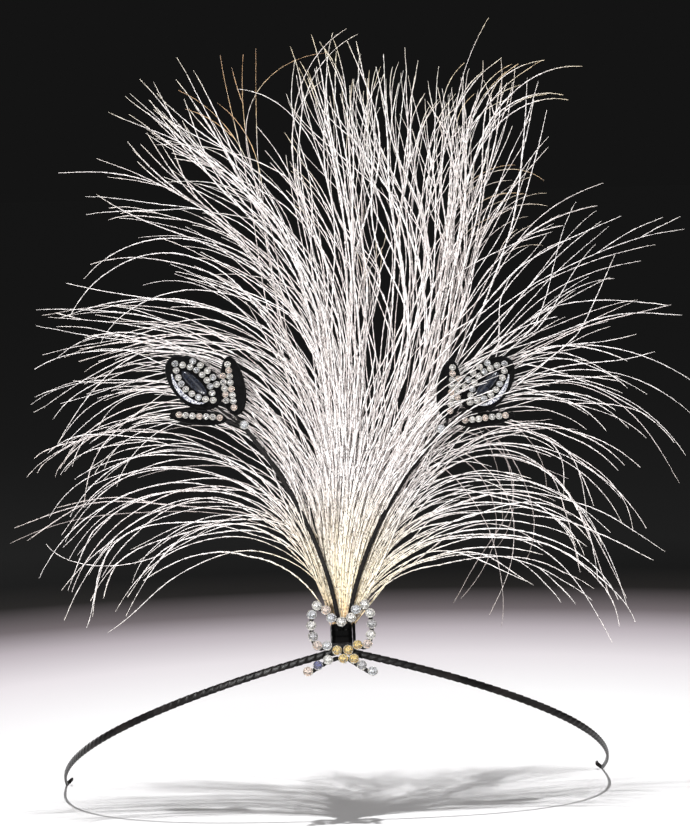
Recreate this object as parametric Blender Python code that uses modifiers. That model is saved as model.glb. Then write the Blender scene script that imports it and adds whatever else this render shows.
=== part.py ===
"""Feather crown: a plume of fine white strands that rises from a jewelled bow on a thin wrapped head band.

Sizes are in metres, +Z up, +X to the wearer's left and -Y to the front. The origin is the middle between
the two ends of the head band, on its mid-line. The bow, the stems, the leaves and the plume are laid out in
the plume's own frame: u to the side, h up the leaning plume, f out of its front. It starts at the front of
the band.
"""
from math import cos, pi, radians, sin

import bmesh
import bpy
import numpy as np
from mathutils import Matrix, Vector

MM = 0.001
GAP = 0.3 * MM
WELD = 0.001 * MM

# Head band: a flat wire wrapped in tape, a squarish bow in plan that climbs to its front
BAND_HALF_WIDTH = 82 * MM
BAND_DEPTH = 86 * MM
BAND_FRONT_RISE = 48 * MM
BAND_SQUARENESS = 3.0
BAND_SAG = 0.04
BAND_POINTS = 37
BAND_HEIGHT = 2.1 * MM
BAND_THICKNESS = 1.2 * MM
BAND_TIP_SCALE = 0.55
BAND_TAPER_FROM = 0.55
CURL_RADIUS = 1.15 * MM
CURL_TURN = radians(205)
CURL_INWARD = Vector((-0.75, 0.0, 0.66))
CURL_POINTS = 8

# Plume frame
PLUME_LEAN = radians(26)

# Bow of wrapped wire, with its stones in front of it
WIRE_RADIUS = 0.6 * MM
WIRE_FRONT = 1.9 * MM
STONE_BACK = 2.9 * MM
STONE_WIDTH = 2.8 * MM
STONE_HEIGHT = 1.7 * MM
KNOT_MIDDLE = 0.9 * MM
KNOT_WIDTH = 7.0 * MM
KNOT_BOTTOM = 1.35 * MM
KNOT_TOP = 7.2 * MM
KNOT_FRONT = 2.5 * MM
KNOT_BACK = -3.7 * MM
KNOT_ROUNDING = 0.9 * MM
# The loops stand a little to the right of the band's middle (mm)
BOW_MIDDLE = 0.3
# Seats of the stones round one loop, from the top of the knot to its foot: side from the bow's middle and
# height (mm). Its wire starts and ends nearer the middle than its first and last stone
LOOP_SEATS = (
    (2.75, 8.3), (4.3, 10.8), (6.9, 12.3), (8.3, 9.5), (8.6, 6.2),
    (8.3, 3.0), (7.2, 0.1), (4.3, 0.0), (1.55, -1.4),
)
LOOP_WIRE_START = (1.0, 8.1)
LOOP_WIRE_END = (0.9, -1.3)
# Tails: side, first seat and step from seat to seat (mm), stones
TAILS = (
    ("left", (-4.0, -4.2), (-2.85, -1.7), 3),
    ("right", (5.6, -6.1), (3.0, -2.0), 2),
)
TAIL_WIRE_START = (0.9, -3.0)
CROSSING_SEATS = ((0.5, -4.1), (3.5, -4.1))
TOP_SEAT = (0.0, 7.2)

# Stems that carry the leaves: side, foot, lean at the foot and at the end, length
STEM_RADIUS = 0.65 * MM
STEM_POINTS = 22
STEM_BASE_FRONT = 0.35 * MM
STEM_FORWARD = 0.02
STEMS = (
    ("left", -0.3 * MM, radians(-4), radians(-36), 67.3 * MM),
    ("right", 2.5 * MM, radians(7), radians(41), 66.3 * MM),
)
STEM_BEND = 0.75

# Leaves: name, lean away from the plume's middle, foot out from and up from the stem's end, length, width,
# and how far the leaf stands in front of the others, which it overlaps (mm)
LEAF_THICKNESS = 1.0 * MM
LEAF_STONE_WIDTH = 1.85 * MM
LEAF_STONE_HEIGHT = 1.15 * MM
LEAF_STONE_SINK = 0.3 * MM
LEAF_STONE_SPACING = 0.12 * MM
# Rows of small stones on a leaf: outward from its middle, first stone from its foot (mm), stones
LEAF_ROWS = {
    "inner": ((0.6, 2.2, 8), (2.5, 4.6, 5)),
    "outer": ((0.0, 2.2, 7),),
}
# Pointed ring of small stones on the middle leaf, round its dark heart: half length, half width, and how
# much lower it sits than the leaf's middle (mm). The stones of its second row, by their number in the ring
RING_HALF_LENGTH = 8.0
RING_HALF_WIDTH = 3.3
RING_DROP = 0.4
RING_DOUBLED = (2, 3, 4, 5, 6)
# A leaf narrows by its taper from its widest place
LEAF_WIDEST_AT = 0.45
LEAF_TAPER = 0.25
LEAVES = (
    ("inner", radians(6), (2.0, 2.7), 19.0, 7.6, 1.35),
    ("middle", radians(42), (7.5, 6.4), 20.8, 13.4, 0.0),
    ("outer", radians(84), (4.9, 1.5), 17.0, 4.8, 1.35),
)
# Each leaf is carried by a thin branch of its stem behind it. The branch stands this much in front of the
# stem's middle (mm), less thick than the stem, and reaches along the leaf from its foot
BRANCH_THINNING = 0.6
BRANCH_LIFT = 0.26
BRANCH_REACH = 5.0 * MM
LEAF_OUTLINE_POINTS = 18
MOTIF_STONE_WIDTH = 2.7 * MM

# Plume: locks fused to a head
ROOT_HEIGHT = KNOT_TOP + GAP
ROOT_SIDE = 0.6 * MM
ROOT_HALF_WIDTH = 2.5 * MM
HEAD_HALF_WIDTH = 6.5 * MM
HEAD_HEIGHT = 20 * MM
HEAD_FLATNESS = 0.5
PLUME_FRONT = -0.7 * MM
# Locks from the lowest on the left over the top to the lowest on the right. Columns: lean from upright
# in degrees at the root, a third, two thirds and the tip, length in mm, half width in mm
LOCKS = (
    ((-3, -60, -121, -153), 111, 4.6),
    ((-17, -25, -82, -150), 126, 5.2),
    ((-13, -14, -68, -117), 149, 5.2),
    ((-16, -7, -68, -99), 161, 4.8),
    ((-6, -4, -50, -128), 170, 4.8),
    ((-3, -4, -45, -118), 178, 5.2),
    ((1, -2, -28, -100), 182, 5.4),
    ((-12, 2, -28, -34), 188, 4.8),
    ((-5, 3, -11, -28), 170, 6.0),
    ((-12, 6, -5, -16), 160, 3.6),
    ((3, 5, -1, -11), 190, 3.4),
    ((-9, 19, -2, 1), 186, 4.4),
    ((-7, 21, 7, 22), 182, 5.6),
    ((2, 23, 10, 0), 186, 4.4),
    ((-9, 26, 5, 73), 193, 3.6),
    ((4, 24, 36, 57), 162, 6.0),
    ((4, 28, 47, 71), 164, 5.0),
    ((6, 31, 60, 87), 160, 4.6),
    ((7, 33, 82, 165), 147, 5.2),
    ((24, 32, 94, 170), 139, 4.8),
    ((28, 41, 124, 164), 147, 4.6),
    ((16, 50, 109, 131), 121, 4.6),
    ((15, 50, 96, 163), 96, 4.2),
    ((12, 71, 112, 165), 101, 3.8),
)
# Layers from the front to the back: lean back in degrees, length in parts, which rows of LOCKS it repeats
LAYERS = (
    (2, 0.98, (0, 1)),
    (15, 0.86, (1, 3)),
    (28, 0.70, (2, 5)),
)
LOCK_POINTS = 10
LOCK_ROOT_RADIUS = 1.0 * MM
LOCK_TIP_RADIUS = 0.7 * MM
LOCK_WIDEST_AT = 0.62
LOCK_FALL = 1.3
# Where a lock starts inside the head: up from the head's foot, and back from its front
LOCK_SEAT = 4.2 * MM
LOCK_BACK = 1.5 * MM

COLOURS = {
    "band_tape": ((0.035, 0.030, 0.030), 0.55, 0.0),
    "wire_tape": ((0.020, 0.018, 0.018), 0.60, 0.0),
    "leaf_velvet": ((0.018, 0.016, 0.018), 0.80, 0.0),
    "rhinestone": ((0.80, 0.80, 0.82), 0.10, 0.0),
    "feather": ((0.86, 0.82, 0.76), 0.70, 0.0),
}

BAND_FRONT_POINT = Vector((0, -BAND_DEPTH, BAND_FRONT_RISE))
PLUME_UP = Vector((0, sin(PLUME_LEAN), cos(PLUME_LEAN)))
PLUME_FORWARD = Vector((0, -cos(PLUME_LEAN), sin(PLUME_LEAN)))


def plume_matrix():
    """World matrix whose X, Y, Z are the plume frame's side, back and up."""
    turn = Matrix((Vector((1, 0, 0)), -PLUME_FORWARD, PLUME_UP)).transposed().to_4x4()
    return Matrix.Translation(BAND_FRONT_POINT) @ turn


def local(side, height, front):
    """A point of the plume frame, as its matrix takes it."""
    return Vector((side, -front, height))


def clear_scene():
    """Remove every object that the file starts with."""
    for old in list(bpy.data.objects):
        bpy.data.objects.remove(old, do_unlink=True)


def make_material(name):
    """A plain material with the piece's colour, roughness and metallic value."""
    colour, roughness, metallic = COLOURS[name]
    material = bpy.data.materials.new(name)
    material.use_nodes = True
    shader = material.node_tree.nodes["Principled BSDF"]
    shader.inputs["Base Color"].default_value = (*colour, 1.0)
    shader.inputs["Roughness"].default_value = roughness
    shader.inputs["Metallic"].default_value = metallic
    return material


def add_object(name, data, collection, matrix, material):
    """Link a piece to the collection at its place, with its own material."""
    piece = bpy.data.objects.new(name, data)
    piece.matrix_world = matrix
    collection.objects.link(piece)
    if material is not None:
        data.materials.append(material.copy())
        data.materials[0].name = f"{material.name}_{name}"
    return piece


def tube_curve(name, splines, radius, resolution=2):
    """A curve with round section: splines are lists of (point, radius factor)."""
    curve = bpy.data.curves.new(name, "CURVE")
    curve.dimensions = "3D"
    curve.bevel_depth = radius
    curve.bevel_resolution = resolution
    curve.use_fill_caps = True
    for points in splines:
        spline = curve.splines.new("POLY")
        spline.points.add(len(points) - 1)
        for target, (place, factor) in zip(spline.points, points):
            target.co = (*place, 1.0)
            target.radius = factor
    return curve


def tube_mesh(name, splines, radius, holder, resolution=2):
    """The same tubes as a closed mesh, ready to be fused."""
    source = bpy.data.objects.new(name, tube_curve(name, splines, radius, resolution))
    holder.objects.link(source)
    bpy.context.view_layer.update()
    mesh = bpy.data.meshes.new_from_object(source.evaluated_get(bpy.context.evaluated_depsgraph_get()))
    curve = source.data
    bpy.data.objects.remove(source, do_unlink=True)
    bpy.data.curves.remove(curve)
    welded = bmesh.new()
    welded.from_mesh(mesh)
    bmesh.ops.remove_doubles(welded, verts=welded.verts, dist=WELD)
    bmesh.ops.recalc_face_normals(welded, faces=welded.faces)
    welded.to_mesh(mesh)
    welded.free()
    return mesh


def resample(points, count):
    """Points spaced evenly along the line through the given points."""
    reach = [0.0]
    for first, second in zip(points, points[1:]):
        reach.append(reach[-1] + (second - first).length)
    even = []
    index = 0
    for step in range(count):
        target = reach[-1] * step / (count - 1)
        while index < len(points) - 2 and reach[index + 1] < target:
            index += 1
        part = (target - reach[index]) / (reach[index + 1] - reach[index])
        even.append(points[index].lerp(points[index + 1], min(max(part, 0.0), 1.0)))
    return even


def smooth_line(seats, count):
    """Points along a smooth line through the seats."""
    ends = [seats[0] * 2 - seats[1], *seats, seats[-1] * 2 - seats[-2]]
    fine = []
    for a, b, c, d in zip(ends, ends[1:], ends[2:], ends[3:]):
        for step in range(8):
            t = step / 8
            square = 2 * a - 5 * b + 4 * c - d
            cube = 3 * b - a - 3 * c + d
            fine.append(0.5 * (2 * b + (c - a) * t + square * t**2 + cube * t**3))
    fine.append(seats[-1].copy())
    return resample(fine, count)


def leaning_path(start, lean_root, lean_tip, length, bend, count):
    """Side and height of a line whose lean grows from its root to its tip."""
    side, height = start
    path = [(side, height)]
    step = length / (count - 1)
    for index in range(count - 1):
        part = (index + 0.5) / (count - 1)
        lean = lean_root + (lean_tip - lean_root) * part**bend
        side += step * sin(lean)
        height += step * cos(lean)
        path.append((side, height))
    return path


def band_half():
    """One half of the band's mid-line, from the front to its end."""
    rough = []
    steps = 400
    for step in range(steps + 1):
        turn = pi / 2 * step / steps
        rough.append(Vector((
            BAND_HALF_WIDTH * sin(turn) ** (2 / BAND_SQUARENESS),
            -BAND_DEPTH * max(cos(turn), 0.0) ** (2 / BAND_SQUARENESS),
            0.0,
        )))
    half = resample(rough, BAND_POINTS)
    for index, point in enumerate(half):
        part = index / (BAND_POINTS - 1)
        point.z = BAND_FRONT_RISE * (1 - part + BAND_SAG * sin(2 * pi * part))
    return half


def curl_points(end, before):
    """The small roll at the band's end, which turns in and up."""
    ahead = (end - before).normalized()
    inward = (CURL_INWARD - ahead * CURL_INWARD.dot(ahead)).normalized()
    centre = end + inward * CURL_RADIUS
    roll = []
    for index in range(1, CURL_POINTS + 1):
        turn = CURL_TURN * index / CURL_POINTS
        roll.append(centre + (ahead * sin(turn) - inward * cos(turn)) * CURL_RADIUS)
    return roll


def build_head_band(collection, material):
    """The wrapped band, a flat wire that thins towards its rolled ends."""
    half = band_half()
    right = half + curl_points(half[-1], half[-2])
    left = [Vector((-point.x, point.y, point.z)) for point in reversed(right[1:])]
    line = left + right
    middle = len(left)
    curve = bpy.data.curves.new("head_band", "CURVE")
    curve.dimensions = "3D"
    curve.twist_mode = "Z_UP"
    curve.bevel_depth = BAND_THICKNESS / 2
    curve.extrude = (BAND_HEIGHT - BAND_THICKNESS) / 2
    curve.bevel_resolution = 1
    curve.use_fill_caps = True
    spline = curve.splines.new("POLY")
    spline.points.add(len(line) - 1)
    for index, point in enumerate(line):
        part = min(abs(index - middle) / (BAND_POINTS - 1), 1.0)
        thin = max(0.0, (part - BAND_TAPER_FROM) / (1 - BAND_TAPER_FROM))
        spline.points[index].co = (*point, 1.0)
        spline.points[index].radius = 1 - (1 - BAND_TIP_SCALE) * thin
    add_object("head_band", curve, collection, Matrix.Identity(4), material)


def cut_stone_mesh(name, width, height, sides=8):
    """A round cut stone: flat table, slanted crown, girdle, and a pavilion cut off at its seat."""
    # part of the height from the seat, and part of the width
    rings = ((0.0, 0.45), (0.58, 1.0), (0.70, 1.0), (1.0, 0.58))
    shape = bmesh.new()
    loops = []
    for level, spread in rings:
        loop = []
        for index in range(sides):
            turn = 2 * pi * (index + 0.5) / sides
            loop.append(shape.verts.new((
                width / 2 * spread * cos(turn), -height * level, width / 2 * spread * sin(turn),
            )))
        loops.append(loop)
    for lower, upper in zip(loops, loops[1:]):
        for index in range(sides):
            after = (index + 1) % sides
            shape.faces.new((lower[index], lower[after], upper[after], upper[index]))
    shape.faces.new(loops[0])
    shape.faces.new(loops[-1])
    bmesh.ops.recalc_face_normals(shape, faces=shape.faces)
    mesh = bpy.data.meshes.new(name)
    shape.to_mesh(mesh)
    shape.free()
    return mesh


def stone_seats():
    """Every seat of a bow stone: side and height in the plume frame."""
    seats = [(BOW_MIDDLE + TOP_SEAT[0], TOP_SEAT[1])]
    for sign in (-1, 1):
        seats += [(BOW_MIDDLE + sign * side, height) for side, height in LOOP_SEATS]
    seats += CROSSING_SEATS
    for name, first, step, count in TAILS:
        seats += [(first[0] + step[0] * index, first[1] + step[1] * index) for index in range(count)]
    return [(side * MM, height * MM) for side, height in seats]


def build_bow_stones(collection, material):
    """The large stones of the bow, each a piece of its own."""
    for index, (side, height) in enumerate(stone_seats(), start=1):
        name = f"bow_stone_{index:02d}"
        mesh = cut_stone_mesh(name, STONE_WIDTH, STONE_HEIGHT)
        place = plume_matrix() @ Matrix.Translation(local(side, height, STONE_BACK))
        add_object(name, mesh, collection, place, material)


def build_bow_wires(collection, material):
    """The two loops and the two tails of wrapped wire behind the stones."""
    for side_name, sign in (("left", -1), ("right", 1)):
        seats = [
            local((BOW_MIDDLE + sign * side) * MM, height * MM, WIRE_FRONT)
            for side, height in (LOOP_WIRE_START, *LOOP_SEATS[1:-1], LOOP_WIRE_END)
        ]
        line = [(point, 1.0) for point in smooth_line(seats, 30)]
        curve = tube_curve(f"bow_loop_{side_name}", [line], WIRE_RADIUS)
        add_object(f"bow_loop_{side_name}", curve, collection, plume_matrix(), material)
    for side_name, first, step, count in TAILS:
        sign = -1 if side_name == "left" else 1
        last = (first[0] + step[0] * (count - 1), first[1] + step[1] * (count - 1))
        seats = [
            local((BOW_MIDDLE + sign * TAIL_WIRE_START[0]) * MM, TAIL_WIRE_START[1] * MM, WIRE_FRONT),
            local(first[0] * MM, first[1] * MM, WIRE_FRONT),
            local(last[0] * MM, last[1] * MM, WIRE_FRONT),
        ]
        line = [(point, 1.0) for point in smooth_line(seats, 8)]
        curve = tube_curve(f"bow_tail_{side_name}", [line], WIRE_RADIUS)
        add_object(f"bow_tail_{side_name}", curve, collection, plume_matrix(), material)


def build_knot(collection, material):
    """The wound knot in the middle of the bow, a rounded block."""
    shape = bmesh.new()
    bmesh.ops.create_cube(shape, size=1.0)
    size = Vector((KNOT_WIDTH, KNOT_FRONT - KNOT_BACK, KNOT_TOP - KNOT_BOTTOM))
    for vertex in shape.verts:
        vertex.co = Vector((vertex.co.x * size.x, vertex.co.y * size.y, vertex.co.z * size.z))
    mesh = bpy.data.meshes.new("bow_knot")
    shape.to_mesh(mesh)
    shape.free()
    centre = local(KNOT_MIDDLE, (KNOT_TOP + KNOT_BOTTOM) / 2, (KNOT_FRONT + KNOT_BACK) / 2)
    knot = add_object("bow_knot", mesh, collection, plume_matrix() @ Matrix.Translation(centre), material)
    rounding = knot.modifiers.new("rounding", "BEVEL")
    rounding.width = KNOT_ROUNDING
    rounding.segments = 3
    rounding.limit_method = "ANGLE"


def stem_path(foot, lean_root, lean_tip, length):
    """Mid-line of a stem in the plume frame, from the knot to the leaves."""
    path = leaning_path((foot, ROOT_HEIGHT), lean_root, lean_tip, length, STEM_BEND, STEM_POINTS)
    return [
        local(side, height, STEM_BASE_FRONT + STEM_FORWARD * (height - ROOT_HEIGHT))
        for side, height in path
    ]


def build_stems(collection, cutters, material):
    """The two wrapped wire stems, each with a branch behind each of its leaves."""
    for side_name, foot, lean_root, lean_tip, length in STEMS:
        sign = -1 if side_name == "left" else 1
        path = stem_path(foot, lean_root, lean_tip, length)
        end = path[-1]
        branches = []
        for name, lean, (out, up), leaf_length, leaf_width, layer in LEAVES:
            leaf_foot = end + Vector((sign * out * MM, -(layer + BRANCH_LIFT) * MM, up * MM))
            reach = leaf_foot + Vector((sign * sin(lean), 0, cos(lean))) * BRANCH_REACH
            seats = [end, end.lerp(leaf_foot, 0.5), leaf_foot, reach]
            branches.append([(point, BRANCH_THINNING) for point in smooth_line(seats, 7)])
        stem = tube_mesh(f"motif_stem_{side_name}", [[(point, 1.0) for point in path]], STEM_RADIUS, cutters)
        piece = add_object(f"motif_stem_{side_name}", stem, collection, plume_matrix(), material)
        union(piece, tube_mesh("branches", branches, STEM_RADIUS, cutters), cutters).use_self = True


def leaf_outline(length, width):
    """Outline of a leaf along +Z: widest below its middle, with a blunt point."""
    edge = []
    for index in range(LEAF_OUTLINE_POINTS):
        turn = 2 * pi * index / LEAF_OUTLINE_POINTS
        along = (1 - cos(turn)) / 2
        across = sin(turn) * (1 - LEAF_TAPER * (along - LEAF_WIDEST_AT))
        edge.append((across * width / 2, along * length))
    return edge


def ring_seats(sign, length):
    """Seats round the middle leaf's heart, doubled on the side of the inner leaf."""
    pitch = (LEAF_STONE_WIDTH + LEAF_STONE_SPACING) / MM
    centre = Vector((0, length / 2 - RING_DROP, 0))
    ring = [
        centre + Vector((
            -sign * RING_HALF_WIDTH * sin(turn) * abs(sin(turn)), -RING_HALF_LENGTH * cos(turn), 0,
        ))
        for turn in (2 * pi * index / 180 for index in range(181))
    ]
    around = sum((after - before).length for before, after in zip(ring, ring[1:]))
    # an even number, so that both points of the ring hold a stone
    seats = resample(ring, 2 * int(around / pitch / 2) + 1)[:-1]
    doubled = []
    for index in RING_DOUBLED:
        along = (seats[index + 1] - seats[index - 1]).normalized()
        doubled.append(seats[index] + Vector((-sign * along.y, sign * along.x, 0)) * pitch)
    return [(point.x, point.y) for point in seats + doubled]


def leaf_stone_seats(name, sign, length):
    """Seats of the small stones on a leaf: across and along (mm)."""
    if name == "middle":
        return ring_seats(sign, length)
    pitch = (LEAF_STONE_WIDTH + LEAF_STONE_SPACING) / MM
    seats = []
    for outward, first, count in LEAF_ROWS[name]:
        seats += [(sign * outward, first + pitch * index) for index in range(count)]
    return seats


def build_leaf(name, side_name, place, length, width, collection, material):
    """A flat leaf with its small stones fused on its front."""
    sign = -1 if side_name == "left" else 1
    node = f"leaf_{name}_{side_name}"
    shape = bmesh.new()
    outline = [shape.verts.new((across * MM, 0, along * MM)) for across, along in leaf_outline(length, width)]
    base = shape.faces.new(outline)
    pushed = bmesh.ops.extrude_face_region(shape, geom=[base])
    moved = [item for item in pushed["geom"] if isinstance(item, bmesh.types.BMVert)]
    bmesh.ops.translate(shape, verts=moved, vec=(0, -LEAF_THICKNESS, 0))
    bmesh.ops.recalc_face_normals(shape, faces=shape.faces)
    mesh = bpy.data.meshes.new(node)
    shape.to_mesh(mesh)
    shape.free()
    leaf = add_object(node, mesh, collection, place, material)
    stone = cut_stone_mesh(f"{node}_stone", LEAF_STONE_WIDTH, LEAF_STONE_HEIGHT)
    field = bmesh.new()
    for across, along in leaf_stone_seats(name, sign, length):
        fresh = bmesh.new()
        fresh.from_mesh(stone)
        front = -LEAF_THICKNESS + LEAF_STONE_SINK
        bmesh.ops.translate(fresh, verts=fresh.verts, vec=(across * MM, front, along * MM))
        single = bpy.data.meshes.new("seat")
        fresh.to_mesh(single)
        fresh.free()
        field.from_mesh(single)
        bpy.data.meshes.remove(single)
    bpy.data.meshes.remove(stone)
    field_mesh = bpy.data.meshes.new(f"{node}_stones")
    field.to_mesh(field_mesh)
    field.free()
    return leaf, field_mesh


def build_leaves(collection, cutters, material, stone_material):
    """Three leaves and an end stone on each stem."""
    for side_name, foot, lean_root, lean_tip, length in STEMS:
        sign = -1 if side_name == "left" else 1
        stem = stem_path(foot, lean_root, lean_tip, length)
        end = stem[-1]
        front = -end.y + STEM_RADIUS + GAP
        for name, lean, (out, up), leaf_length, leaf_width, layer in LEAVES:
            leaf_foot = local(end.x + sign * out * MM, end.z + up * MM, front + layer * MM)
            turn = Matrix.Rotation(sign * lean, 4, "Y")
            place = plume_matrix() @ Matrix.Translation(leaf_foot) @ turn
            leaf, field = build_leaf(name, side_name, place, leaf_length, leaf_width, collection, material)
            union(leaf, field, cutters)
        stone = cut_stone_mesh(f"motif_stone_{side_name}", MOTIF_STONE_WIDTH, STONE_HEIGHT)
        seat = plume_matrix() @ Matrix.Translation(local(end.x, end.z, front))
        add_object(f"motif_stone_{side_name}", stone, collection, seat, stone_material)


def union(target, mesh, cutters):
    """Fuse a mesh, placed as the target is, into the target."""
    tool = bpy.data.objects.new(f"{target.name}_fused", mesh)
    tool.matrix_world = target.matrix_world.copy()
    tool.hide_render = True
    tool.display_type = "WIRE"
    cutters.objects.link(tool)
    join = target.modifiers.new("fuse", "BOOLEAN")
    join.operation = "UNION"
    join.solver = "EXACT"
    join.object = tool
    return join


def lock_radius(part, half_width):
    """Half width of a lock: thin at the head, widest past its middle, thin at the tip."""
    if part < LOCK_WIDEST_AT:
        return LOCK_ROOT_RADIUS + (half_width - LOCK_ROOT_RADIUS) * sin(pi / 2 * part / LOCK_WIDEST_AT)
    fall = (part - LOCK_WIDEST_AT) / (1 - LOCK_WIDEST_AT)
    return half_width + (LOCK_TIP_RADIUS - half_width) * fall**LOCK_FALL


def lock_line(leans, length, half_width, lean_back):
    """One lock: points of the plume frame with the radius at each."""
    curve = np.polyfit((0, 1 / 3, 2 / 3, 1), leans, 3)
    step = length / (LOCK_POINTS - 1)
    side = ROOT_SIDE
    rise = LOCK_SEAT
    line = []
    for index in range(LOCK_POINTS):
        part = index / (LOCK_POINTS - 1)
        radius = lock_radius(part, half_width)
        front = PLUME_FRONT - max(radius, LOCK_BACK + length * part * sin(lean_back))
        line.append((local(side, ROOT_HEIGHT + rise * cos(lean_back), front), radius))
        lean = radians(np.polyval(curve, (index + 0.5) / (LOCK_POINTS - 1)))
        side += step * sin(lean)
        rise += step * cos(lean)
    return line


def build_plume(collection, cutters, material):
    """The plume: locks in three layers, fused to a flat conical head that stands in the knot."""
    shape = bmesh.new()
    bmesh.ops.create_cone(
        shape, cap_ends=True, segments=16,
        radius1=ROOT_HALF_WIDTH, radius2=HEAD_HALF_WIDTH, depth=HEAD_HEIGHT,
    )
    for vertex in shape.verts:
        part = vertex.co.z / HEAD_HEIGHT + 0.5
        depth = HEAD_FLATNESS * (ROOT_HALF_WIDTH + (HEAD_HALF_WIDTH - ROOT_HALF_WIDTH) * part)
        back = -PLUME_FRONT + depth + vertex.co.y * HEAD_FLATNESS
        vertex.co = Vector((ROOT_SIDE + vertex.co.x, back, ROOT_HEIGHT + HEAD_HEIGHT * part))
    mesh = bpy.data.meshes.new("plume")
    shape.to_mesh(mesh)
    shape.free()
    plume = add_object("plume", mesh, collection, plume_matrix(), material)
    splines = []
    for lean_back, share, (first, every) in LAYERS:
        for leans, length, half_width in LOCKS[first::every]:
            splines.append(lock_line(leans, length * share * MM, half_width * MM, radians(lean_back)))
    locks = tube_mesh("plume_locks", splines, 1.0, cutters, resolution=1)
    union(plume, locks, cutters).use_self = True


def main():
    """Build every piece in order."""
    clear_scene()
    crown = bpy.data.collections.new("feather_crown")
    cutters = bpy.data.collections.new("feather_crown_cutters")
    bpy.context.scene.collection.children.link(crown)
    bpy.context.scene.collection.children.link(cutters)
    finishes = {name: make_material(name) for name in COLOURS}
    build_head_band(crown, finishes["band_tape"])
    build_knot(crown, finishes["wire_tape"])
    build_bow_wires(crown, finishes["wire_tape"])
    build_bow_stones(crown, finishes["rhinestone"])
    build_stems(crown, cutters, finishes["wire_tape"])
    build_leaves(crown, cutters, finishes["leaf_velvet"], finishes["rhinestone"])
    build_plume(crown, cutters, finishes["feather"])


if __name__ == "__main__":
    main()
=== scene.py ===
"""Feather crown, dressed: wound wires, cut stones in cups, velvet leaves and a fountain of feather strands.

The shapes repeat the sizes of the part's source, in metres unless a comment says mm. The bow, the stems, the
leaves and the plume are laid out in the plume's own frame: side, height up the leaning plume, and front.
"""
import logging
from contextlib import contextmanager
from dataclasses import dataclass, field
from enum import Enum
from math import atan2, copysign, cos, hypot, pi, radians, sin
from typing import Callable, Iterable, Iterator, Sequence

import bpy
import numpy as np
from mathutils import Matrix, Vector


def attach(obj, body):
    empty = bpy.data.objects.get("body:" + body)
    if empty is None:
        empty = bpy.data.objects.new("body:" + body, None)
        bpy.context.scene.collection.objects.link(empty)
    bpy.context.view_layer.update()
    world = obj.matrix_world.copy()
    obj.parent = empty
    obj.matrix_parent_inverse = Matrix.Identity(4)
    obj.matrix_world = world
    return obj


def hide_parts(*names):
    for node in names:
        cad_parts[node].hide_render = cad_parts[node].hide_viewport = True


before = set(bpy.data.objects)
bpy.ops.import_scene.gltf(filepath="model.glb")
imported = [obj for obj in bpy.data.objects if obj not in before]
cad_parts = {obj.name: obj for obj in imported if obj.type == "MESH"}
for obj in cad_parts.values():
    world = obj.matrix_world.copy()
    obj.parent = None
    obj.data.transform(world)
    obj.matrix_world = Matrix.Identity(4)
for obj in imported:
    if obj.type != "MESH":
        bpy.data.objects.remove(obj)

MM = 0.001
BODY = "root"
log = logging.getLogger("feather_crown")


class Slot(Enum):
    """Material slots of the record."""

    BAND = "band_tape"
    WIRE = "wire_tape"
    LEAF = "leaf_velvet"
    STONE = "rhinestone"
    FEATHER = "feather"


class Side(Enum):
    """The two sides of the crown, with the sign of their side coordinate."""

    LEFT = -1
    RIGHT = 1

    @property
    def label(self) -> str:
        """The side's word in the names of the nodes."""
        return self.name.lower()


class Tint(Enum):
    """Glass and foil colours of a cut stone."""

    CLEAR = ("#FFFFFF", "#F4F2EE")
    SILVER = ("#FBFCFE", "#E2E4E7")
    SMOKE = ("#F0EEEC", "#C2C2C6")
    GOLD = ("#FAF0CC", "#E8D088")
    ROSE = ("#FFF8F3", "#F3E4D9")
    VIOLET = ("#B9BBE0", "#6E6F9A")


def linear(code: str) -> tuple[float, float, float, float]:
    """Turn an sRGB hex value into a linear colour with alpha.

    Args:
        code: The value as "#RRGGBB".

    Returns:
        Red, green, blue and alpha for a node's socket.
    """
    parts = [int(code[place:place + 2], 16) / 255 for place in (1, 3, 5)]
    red, green, blue = (
        part / 12.92 if part <= 0.04045 else ((part + 0.055) / 1.055) ** 2.4 for part in parts
    )
    return (red, green, blue, 1.0)


def feed(tree: bpy.types.NodeTree, node: bpy.types.Node, inputs: dict) -> None:
    """Fill a node's inputs.

    Args:
        tree: The material's node tree.
        node: The node.
        inputs: Socket name or number, with a value, a socket to link, or a node whose first output is linked.
    """
    for name, value in inputs.items():
        if isinstance(value, bpy.types.Node):
            value = value.outputs[0]
        if isinstance(value, bpy.types.NodeSocket):
            tree.links.new(value, node.inputs[name])
        else:
            node.inputs[name].default_value = value


def add_node(
    tree: bpy.types.NodeTree, kind: str, inputs: dict | None = None, stops: Iterable = (), **settings
) -> bpy.types.Node:
    """Add one node with its settings, its stops if it is a ramp, and its inputs.

    Args:
        tree: The material's node tree.
        kind: The node's Blender type.
        inputs: Its inputs, as feed takes them.
        stops: Pairs of position and hex colour, for a ramp.
        **settings: Attributes of the node.

    Returns:
        The new node.
    """
    node = tree.nodes.new(kind)
    for name, value in settings.items():
        setattr(node, name, value)
    for index, (place, code) in enumerate(stops):
        elements = node.color_ramp.elements
        element = elements[index] if index < 2 else elements.new(place)
        element.position = place
        element.color = linear(code)
    feed(tree, node, inputs or {})
    return node


# Finishes


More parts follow.
